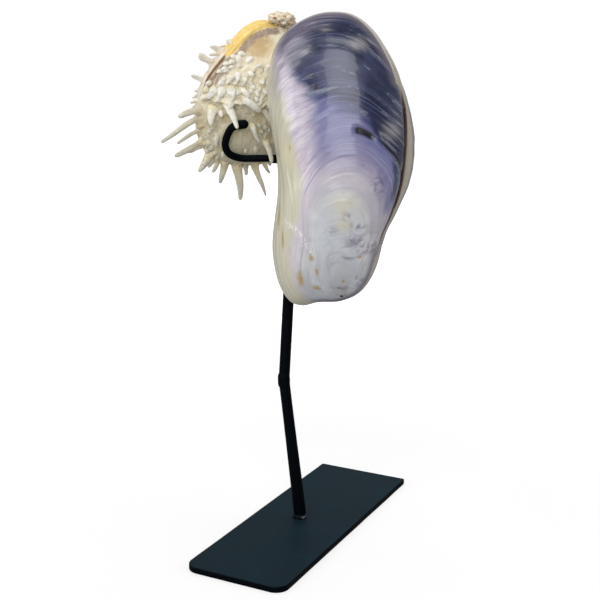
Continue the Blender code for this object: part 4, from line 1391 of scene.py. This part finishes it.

# %% [markdown]
# ## The spiny shell's finish
# Up close the shell is chalky cream with yellow and brown dirt caught between its spines, and the same colour
# lies in its low places, where it is partly dirt and partly painted shade. The spines are cleaner, whiter and
# a little glassy at their tips. Below the ledge it is greyer, partly its own colour and partly painted shade.
# A mauve-brown band runs along the upper margin: at the top the golden beak reaches over it, and lower down a
# thin brown seam edges it. The hollow under the beak is tan. Each of these is a mask that was stored with the
# mesh, so one function makes the finish of both valves.

# %% Oyster finish
def oyster_finish(name, upper, lower, dirt_and_shade, foot):
    made, tree, shader = new_material(name, 0.5)
    shader.inputs["Subsurface Weight"].default_value = 0.15
    shader.inputs["Subsurface Radius"].default_value = (1.0, 0.8, 0.6)
    shader.inputs["Subsurface Scale"].default_value = 0.0010
    place = local_place(tree)
    growth = attribute(tree, "growth")
    across = attribute(tree, "across")
    spine = attribute(tree, "spine")
    bands = use(tree, GROWTH_BANDS, Growth=growth, Across=across, Lines=42.0, Length=5.0)
    cloud = use(tree, MOTTLE, Vector=place, Scale=120.0, Low=0.42, High=0.66)["Mask"]
    fine = use(tree, MOTTLE, Vector=place, Scale=620.0, Low=0.42, High=0.64)["Mask"]

    # The body: two zones, a golden beak, and the dirt colour in the growth lines and in every low place but
    # there; in the low places it is partly painted shade
    colour = blend(tree, attribute(tree, "low"), upper, lower)
    colour = lay(tree, colour, shade(222, 208, 168), cloud, 0.35)
    yellow = plus(tree, attribute(tree, "yellow"), times(tree, calc(tree, "SUBTRACT", cloud, 0.5), 0.2))
    golden = mask(tree, yellow, 0.10, 0.60)
    gold = blend(tree, mask(tree, bands["Coarse"], 0.40, 0.60), shade(250, 208, 108), shade(254, 232, 160))
    colour = blend(tree, golden, colour, gold)
    line = times(tree, mask(tree, bands["Fine"], 0.46, 0.32), 0.30)
    # Low places of the relief get the dirt colour: partly dirt, partly painted shade in the hollows
    low = times(tree, mask(tree, attribute(tree, "relief"), 0.05, -0.35), 0.50)
    clean = calc(tree, "SUBTRACT", 1.0, times(tree, golden, 0.75))
    stained_and_shaded = times(tree, calc(tree, "MAXIMUM", line, low), clean)
    colour = blend(tree, stained_and_shaded, colour, dirt_and_shade)
    tan = blend(tree, cloud, shade(206, 178, 134), shade(222, 198, 154))
    colour = blend(tree, mask(tree, attribute(tree, "hollow"), 0.25, 0.75), colour, tan)
    band = mask(tree, plus(tree, attribute(tree, "band"), times(tree, fine, 0.3)), 0.30, 0.95)
    mauve = blend(tree, mask(tree, bands["Streak"], 0.45, 0.62), shade(150, 124, 108), shade(196, 180, 164))
    colour = lay(tree, colour, mauve, band, 0.9)
    colour = blend(tree, mask(tree, attribute(tree, "seam"), 0.2, 0.7), colour, shade(120, 84, 56))

    # The spines: stained at the foot, clean and a little glassy towards the tip
    grown = mask(tree, spine, 0.08, 0.36)
    colour = lay(tree, colour, foot, mask(tree, spine, 0.0, 0.05), 0.6)
    tint = blend(tree, attribute(tree, "tint"), shade(252, 248, 236), shade(210, 194, 154))
    colour = blend(tree, grown, colour, tint)
    tip = times(tree, times(tree, mask(tree, spine, 0.3, 0.9), 0.9), attribute(tree, "tint"), clamp=True)
    colour = blend(tree, tip, colour, shade(204, 208, 200))
    colour = lay(tree, colour, dirt_and_shade, fine, 0.10)
    tree.links.new(colour, shader.inputs["Base Color"])
    rough = plus(tree, times(tree, fine, 0.2), 0.38)
    tree.links.new(calc(tree, "SUBTRACT", rough, times(tree, grown, 0.08)), shader.inputs["Roughness"])
    turns = times(tree, attribute(tree, "groove"), 2.2)
    ridges = add(tree, "CombineXYZ", {"X": turns, "Y": times(tree, spine, 2.0)})
    striped = times(tree, grain(tree, ridges.outputs[0], 2.0), grown)
    height = plus(tree, times(tree, fine, 0.6), plus(tree, bands["Fine"], striped))
    raise_surface(tree, shader, height, 0.0003)
    return made


cream_finish = oyster_finish(
    "cream spiny shell",
    upper=shade(252, 243, 218),
    # Below the ledge the shell is greyer: partly its own colour, partly painted shade under the ledge and
    # between the spines
    lower=shade(214, 208, 184),
    dirt_and_shade=shade(198, 174, 122),
    foot=shade(232, 214, 162),
)
white_finish = oyster_finish(
    "white and yellow spiny shell",
    upper=shade(244, 236, 220),
    lower=shade(244, 236, 220),
    dirt_and_shade=shade(196, 158, 116),
    foot=shade(240, 200, 158),
)
show("oyster_cemented", cemented_mesh, cream_finish, "oyster_cemented_valve", OYSTER_FRAME)
show("oyster_free", free_mesh, white_finish, "oyster_free_valve", OYSTER_FRAME)

# %% [markdown]
# ## The crust at the beak
# A lump of worm tubes and coral crust holds the two shells together at the top. It could be sculpted, but
# two balls with noise of several sizes pushed into them already look like that: big lumps, then knobs,
# then a rough skin. The cells of a Voronoi noise give the knobs their round heads.

# %% Crust
CRUST_PLACE = np.array((10.4, 36, 2.4)) * MM
# Middle and half sizes of the two balls (mm)
CRUST_LUMPS = [((0, 0, 0), (6.2, 2.8, 5.4)), ((6.0, -3.3, -0.8), (3.9, 1.8, 2.4))]


def crust_mesh():
    crust = bmesh.new()
    for middle, half in CRUST_LUMPS:
        ball = bmesh.ops.create_icosphere(crust, subdivisions=6, radius=1)
        for vertex in ball["verts"]:
            direction = vertex.co.copy()
            lump = 1 + 0.26 * noise.noise(direction * 1.9 + Vector((3.1, 0.4, 7.7)))
            lump += 0.14 * noise.fractal(direction * 5.0, 1.0, 2.1, 3)
            cells = noise.voronoi(direction * 4.2)[0]
            lump += 0.14 * (0.5 - cells[0]) + 0.02 * noise.noise(direction * 30)
            vertex.co = Vector([(m + c * s * lump) * MM for m, c, s in zip(middle, direction, half)])
    made = bpy.data.meshes.new("crust")
    crust.to_mesh(made)
    crust.free()
    made.shade_smooth()
    return made


def crust_finish():
    made, tree, shader = new_material("ochre crust", 0.8, specular=0.3)
    place = local_place(tree)
    lumps = grain(tree, place, 420.0, 4.0, 0.6, 0.6)
    colour = ramp(tree, lumps, [
        (0.30, shade(130, 84, 54)), (0.40, shade(206, 172, 118)), (0.50, shade(240, 232, 214)),
        (0.64, shade(232, 214, 182)), (0.75, shade(180, 130, 80)),
    ])
    far = add(tree, "SeparateXYZ", {0: place}).outputs["X"]
    colour = blend(tree, mask(tree, far, 0.0035, 0.0065), colour, shade(206, 194, 190))
    red = use(tree, MOTTLE, Vector=place, Scale=700.0, Low=0.57, High=0.62)["Mask"]
    colour = lay(tree, colour, shade(110, 30, 30), red, 0.8)
    tree.links.new(colour, shader.inputs["Base Color"])
    tree.links.new(plus(tree, times(tree, lumps, 0.3), 0.6), shader.inputs["Roughness"])
    raise_surface(tree, shader, lumps, 0.0008)
    return made


crust_frame = OYSTER_FRAME @ Matrix.Translation(CRUST_PLACE)
show("crust", crust_mesh(), crust_finish(), "beak_crust", crust_frame)

# %% [markdown]
# ## The stand's paint
# The stand is mild steel with a satin black paint, brushed or sprayed on over the welds. Black paint is not
# a flat black: it has a faint orange-peel skin and small chips where bare steel shows. Faces that look up
# get a lighter blue-grey, partly dust and partly a painted sheen of the light from above. The mottle and
# scratch groups are used again here with other values.

# %% Paint
def paint_finish(name, chip_level, bump=0.00005):
    made, tree, shader = new_material(name, 0.5, specular=0.05)
    place = local_place(tree)
    peel = grain(tree, place, 900.0, 3.0)
    patchy_mottle = use(tree, MOTTLE, Vector=place, Scale=60.0, Low=0.45, High=0.75)["Mask"]
    chips = use(tree, MOTTLE, Vector=place, Scale=520.0, Low=chip_level, High=chip_level + 0.03)["Mask"]
    marks = use(tree, SCRATCHES, Vector=place, Angle=0.3, Amount=0.35)["Mask"]
    # Faces that look up turn a lighter blue-grey: partly dust, partly a painted sheen of the light from above
    facing = add(tree, "SeparateXYZ", {0: add(tree, "NewGeometry").outputs["Normal"]}).outputs["Z"]
    uneven = plus(tree, times(tree, patchy_mottle, 0.3), 0.7)
    dust_and_sheen = times(tree, mask(tree, facing, 0.5, 0.95), uneven)
    colour = blend(tree, dust_and_sheen, shade(1, 4, 8), shade(23, 42, 51))
    colour = blend(tree, marks, colour, shade(52, 58, 62))
    colour = blend(tree, chips, colour, shade(104, 106, 108))
    tree.links.new(colour, shader.inputs["Base Color"])
    rough = plus(tree, times(tree, peel, 0.16), times(tree, patchy_mottle, 0.10))
    tree.links.new(plus(tree, rough, 0.42), shader.inputs["Roughness"])
    tree.links.new(times(tree, chips, 0.4), shader.inputs["Metallic"])
    raise_surface(tree, shader, calc(tree, "SUBTRACT", peel, chips), bump)
    return made


PAINT = paint_finish("satin black paint", 0.80)
WELD_PAINT = paint_finish("painted weld", 0.60, 0.0002)
print("paints:", PAINT.name, "and", WELD_PAINT.name)

# %% [markdown]
# ## The base plate
# The plate was cut from flat bar: its rims are slightly rolled, the two corners nearest the viewer are worn
# round and the far ones are still square. A bevelled box could do it, but rings of points, each the outline
# pushed in by a distance at its own height, also let the long edges wander a little, as a sheared edge does.

# %% Plate
PLATE_SIZE = (0.0508, 0.150, 0.003)
NEAR_CORNER = 0.0065              # worn round
FAR_CORNER = 0.0012
LEAST_CORNER = 0.0003             # no corner gets tighter than this when the outline is pushed in
PLATE_EDGE = 0.0005               # how far the rims are rolled
PLATE_WANDER = 0.00022            # how far the sheared edges wander inwards
LAST_OUTLINE = 0.0035             # rings further in than this only shrink towards the middle


def plate_outline(inset):
    """The rounded rectangle pushed inwards by inset, as 320 points."""
    half = (PLATE_SIZE[0] / 2, PLATE_SIZE[1] / 2)
    points = []
    for corner, (sx, sy) in enumerate(((1, 1), (-1, 1), (-1, -1), (1, -1))):
        radius = NEAR_CORNER if sy < 0 else FAR_CORNER
        centre = np.array((sx * (half[0] - radius), sy * (half[1] - radius)))
        for angle in np.linspace(0, math.pi / 2, 20):
            turned = angle + corner * math.pi / 2
            way = np.array((math.cos(turned), math.sin(turned)))
            points.append(centre + way * max(radius - inset, LEAST_CORNER))
    corners = np.array(points)
    spaced = []
    for i, start in enumerate(corners):
        end = corners[(i + 1) % len(corners)]
        pieces = 60 if lengths(end - start) > 0.02 else 1
        spaced += [start + (end - start) * k / pieces for k in range(pieces)]
    return np.array(spaced)


def plate_mesh():
    """Rings from the underside round the rim to the top, by (inset, height) in mm."""
    top = PLATE_SIZE[2] / MM
    edge = PLATE_EDGE / MM
    steps = [(9, 0), (edge, 0), (0.15, 0.12), (0, edge), (0, 1.6), (0, top - edge), (0.15, top - 0.12),
             (edge, top), (1.2, top), (4, top), (9, top), (16, top)]
    rings = []
    for inset, height in steps:
        outline = plate_outline(min(inset * MM, LAST_OUTLINE))
        shrink = max(inset * MM - LAST_OUTLINE, 0)
        outline = outline - np.sign(outline) * np.minimum(np.abs(outline), shrink)
        rings.append(np.concatenate([outline, np.full((len(outline), 1), height * MM)], 1))
    rings = np.array(rings)
    wave = wander(rings * (1, 1, 0), 45, 6)
    rings[..., :2] -= np.sign(rings[..., :2]) * (PLATE_WANDER * (0.5 + 0.5 * wave))[..., None]
    return rings_mesh("plate", rings)


show("plate", plate_mesh(), PAINT, "base_plate")

# %% [markdown]
# ## Posts and prongs
# Two lengths of rod make the post, welded end to end at a knee, and two thinner rods bend round the oyster.
# A curve with a bevel is the quickest way to draw a rod, but it has the same thickness from end to end.
# Rings swept along a smooth route do the same job, and they let a prong's tip swell and close like a drop
# and the lower post grow a little thicker towards its foot.

# %% Rods
POST_RADIUS = 0.0027
PRONG_RADIUS = 0.00172
POST_FOOT = (-2.6, -0.9)
POST_KNEE = Vector((-10.7, -5.2, 75.0))
POST_TOP = Vector((-7.2, -3.5, 186.0))
POST_FLARE = 0.14                 # how much thicker the lower post is at its foot
FOOT_WELD_HEIGHT = 0.0016
KNEE_WELD_HEIGHT = 0.0062
KNEE_GAP = 0.05                   # between the bead and the two bars (mm)
FRONT_PRONG = [
    (-9.0, -6.0, 184.0), (-16.0, -10.0, 183.8), (-23.0, -14.1, 183.6), (-29.3, -18.0, 183.7),
    (-32.6, -22.2, 185.7), (-33.2, -25.0, 189.3), (-31.9, -26.3, 193.2), (-29.6, -26.7, 197.2),
    (-27.4, -25.7, 199.0), (-24.3, -23.5, 199.7),
]
REAR_PRONG = [
    (-7.3, -0.4, 183.2), (-10.1, 8.0, 182.2), (-15.0, 15.6, 181.5), (-21.6, 20.2, 180.9),
    (-29.7, 20.6, 180.4), (-37.5, 18.0, 181.0), (-43.0, 14.5, 183.5), (-46.0, 11.5, 188.0),
    (-46.5, 9.5, 193.0),
]
PRONG_TIP_SWELL = 1.24
ROD_AROUND = 28
# Which way a ring's first point lies: any way that the rod itself never runs along
POST_SEAM = (1.0, 0.2, 0.0)
PRONG_SEAM = (0.13, 0.31, 0.94)


def rod_mesh(name, route, radius, swell=1.0, flare=0.0):
    """A round bar along a smooth route through points in mm. With a swell its far end is a blunt drop."""
    route = np.array(route)
    cap = radius * swell
    if swell > 1:
        last_way = unit(route[-1] - route[-2])
        route = np.concatenate([route, [route[-1] + last_way * cap / MM]])
    count = 30 * (len(route) - 1) if len(route) > 2 else 60
    shares = np.concatenate([[0, 0.001], np.linspace(0.01, 0.99, count - 4), [0.999, 1]])
    path = smooth_points(route, shares, closed=False) * MM
    run = np.concatenate([[0], np.cumsum(lengths(np.diff(path, axis=0)))])
    size = np.full(count, radius)
    if swell > 1:
        from_end = run[-1] - run
        size *= 1 + (swell - 1) * soft_step(from_end, 5.0 * radius, 2.2 * radius)
        size *= np.sqrt(np.clip(1 - (1 - from_end / cap).clip(0, 1) ** 2, 0.04, 1))
    size *= 1 + flare * (1 - soft_step(run, 0, 60 * MM)) + 0.012 * wander(path, 260, 5)
    seam = PRONG_SEAM if swell > 1 else POST_SEAM
    rings = sweep(path, size, size, np.tile(seam, (count, 1)), ROD_AROUND)
    return rings_mesh(name, rings)


plate_top = PLATE_SIZE[2] + GAP
post_start = Vector((*POST_FOOT, (plate_top + FOOT_WELD_HEIGHT + GAP) / MM))
half_weld = KNEE_WELD_HEIGHT / 2 / MM
lower_way = (POST_KNEE - post_start).normalized()
upper_way = (POST_TOP - POST_KNEE).normalized()
lower_end = POST_KNEE - lower_way * (half_weld + KNEE_GAP)
upper_end = POST_KNEE + upper_way * (half_weld + KNEE_GAP)
RODS = {
    "post_lower": ("lower_post", [post_start, lower_end], POST_RADIUS, 1.0, POST_FLARE),
    "post_upper": ("upper_post", [upper_end, POST_TOP], POST_RADIUS, 1.0, 0.0),
    "prong_front": ("front_prong", FRONT_PRONG, PRONG_RADIUS, PRONG_TIP_SWELL, 0.0),
    "prong_rear": ("rear_prong", REAR_PRONG, PRONG_RADIUS, PRONG_TIP_SWELL, 0.0),
}
for name, (node, *shape) in RODS.items():
    show(name, rod_mesh(name, *shape), PAINT, node)

# %% [markdown]
# ## Welds
# Molten steel sets in uneven beads, so both welds are roughened with noise. The one at the foot is a turned
# lump, with an outline that runs from the plate up into the post. The bead at the knee is swept along the
# bend, because a straight lump would show its ends on one side.

# %% Welds
# The foot weld's outline from below, as shares of the post's radius and of the weld's height
FOOT_OUTLINE = [
    (1.36, 0.0), (1.38, 0.10), (1.34, 0.25), (1.28, 0.42), (1.22, 0.60), (1.15, 0.80), (1.07, 0.93),
    (1.00, 1.0),
]
WELD_AROUND = 48
FOOT_LUMPS = 0.16
KNEE_LUMPS = 0.04
KNEE_WELD_RADIUS = 0.0030


def foot_mesh():
    """A turned lump, roughened like set metal."""
    angle = np.linspace(0, 2 * math.pi, WELD_AROUND, endpoint=False)
    circle = np.stack([np.cos(angle), np.sin(angle)], 1)
    rings = []
    for radius, height in FOOT_OUTLINE:
        level = np.full((WELD_AROUND, 1), FOOT_WELD_HEIGHT * height)
        rings.append(np.concatenate([circle * (POST_RADIUS * radius), level], 1))
    rings = np.array(rings)
    rings[..., :2] *= (1 + FOOT_LUMPS * wander(rings, 420, 3, 3))[..., None]
    return rings_mesh("foot_weld", rings)


def knee_mesh():
    """The bead bends with the post and stands out to the left only."""
    reach = (-1.0, -0.6, 0.6, 1.0)
    route = np.array([POST_KNEE + (lower_way if r < 0 else upper_way) * half_weld * r for r in reach])
    shares = np.concatenate([[0, 0.01], np.linspace(0.04, 0.96, 23), [0.99, 1]])
    path = smooth_points(route, shares, closed=False) * MM
    rise = 1 - np.abs(2 * shares - 1) ** 2.4
    bulge = rise * (KNEE_WELD_RADIUS - POST_RADIUS)
    size = POST_RADIUS + bulge
    rings = sweep(path, size, size, np.tile(POST_SEAM, (len(path), 1)), WELD_AROUND)
    middle = path[:, None]
    push = 1 + KNEE_LUMPS * rise[:, None] * wander(rings, 420, 8, 3)
    rings = middle + (rings - middle) * push[..., None]
    rings[..., 0] -= 0.9 * bulge[:, None]
    return rings_mesh("knee_weld", rings)


foot_place = Matrix.Translation((POST_FOOT[0] * MM, POST_FOOT[1] * MM, plate_top))
show("foot_weld", foot_mesh(), WELD_PAINT, "base_weld", foot_place)
show("knee_weld", knee_mesh(), PAINT, "post_weld")

# %% [markdown]
# ## Lights
# A polished shell shows the lights as a mirror does, so the picture tells where they stood. One tall soft
# light beside the camera draws the bright stripe down the valve, and the stripe's edges give its width. A
# second one at the left fills in, and a weak one behind lights the rims. The right and the top light only
# shape the shells' sides, so they are hidden from reflections.

# %% Lights
SHELL_CENTRE = Vector((0.0, -0.01, 0.19))


def softbox(name, azimuth, elevation, distance, size, brightness, mirrored=True):
    """A rectangle of light that faces the shells. Azimuth 0 is towards -Y and 90 towards +X."""
    a = math.radians(azimuth)
    e = math.radians(elevation)
    way = Vector((math.sin(a) * math.cos(e), -math.cos(a) * math.cos(e), math.sin(e)))
    lamp = bpy.data.lights.new(name, "AREA")
    lamp.shape = "RECTANGLE"
    lamp.size, lamp.size_y = size
    lamp.energy = brightness * math.pi * size[0] * size[1]
    holder = bpy.data.objects.new(name, lamp)
    holder.location = SHELL_CENTRE + way * distance
    holder.rotation_euler = way.to_track_quat("Z", "Y").to_euler()
    holder.visible_glossy = mirrored
    bpy.context.scene.collection.objects.link(holder)


softbox("main light", 15.5, 23, 1.3, (1.08, 1.50), 2.5)
softbox("left light", -52, 22, 1.3, (0.75, 1.2), 2.45)
softbox("right light", 118, 15, 1.4, (0.9, 1.3), 1.5, mirrored=False)
softbox("top light", 180, 75, 1.4, (1.6, 1.2), 1.8, mirrored=False)
softbox("back light", 200, 25, 1.4, (1.4, 1.0), 0.4)

# %% [markdown]
# ## Floor and background
# The piece stands on plain pale ground with only a soft shadow under it. A white floor under a few lamps
# renders grey, so the camera also sees it glow, a little less near the stand. Other rays see hardly any of
# that glow, otherwise it would light the shells from below. The background works in the same way.

# %% Floor and background
FLOOR_RADIUS = 6.0
floor_mesh = bpy.data.meshes.new("floor")
disc = bmesh.new()
bmesh.ops.create_circle(disc, cap_ends=True, segments=96, radius=FLOOR_RADIUS)
disc.to_mesh(floor_mesh)
disc.free()
floor = bpy.data.objects.new("floor", floor_mesh)
bpy.context.scene.collection.objects.link(floor)
white, floor_tree, floor_shader = new_material("white floor", 0.7, specular=0.1)
floor_shader.inputs["Base Color"].default_value = shade(150, 150, 150)
floor_shader.inputs["Emission Color"].default_value = (1, 1, 1, 1)
far_out = add(floor_tree, "TexCoord").outputs["Object"]
far_out = add(floor_tree, "VectorMath", {0: far_out}, operation="LENGTH").outputs["Value"]
glow = plus(floor_tree, times(floor_tree, mask(floor_tree, far_out, 0.12, 0.6), 0.40), 0.68)
seen = add(floor_tree, "LightPath").outputs["Is Camera Ray"]
glow = times(floor_tree, glow, plus(floor_tree, times(floor_tree, seen, 0.94), 0.06))
floor_tree.links.new(glow, floor_shader.inputs["Emission Strength"])
floor.data.materials.append(white)

world = bpy.data.worlds.new("studio")
world.use_nodes = True
bpy.context.scene.world = world
world_tree = world.node_tree
seen = add(world_tree, "LightPath").outputs["Is Camera Ray"]
level = plus(world_tree, times(world_tree, seen, 0.8), 0.22)
world_tree.links.new(level, world_tree.nodes["Background"].inputs["Strength"])
world_tree.nodes["Background"].inputs["Color"].default_value = (1, 1, 1, 1)
print("floor of", 2 * FLOOR_RADIUS, "m across")
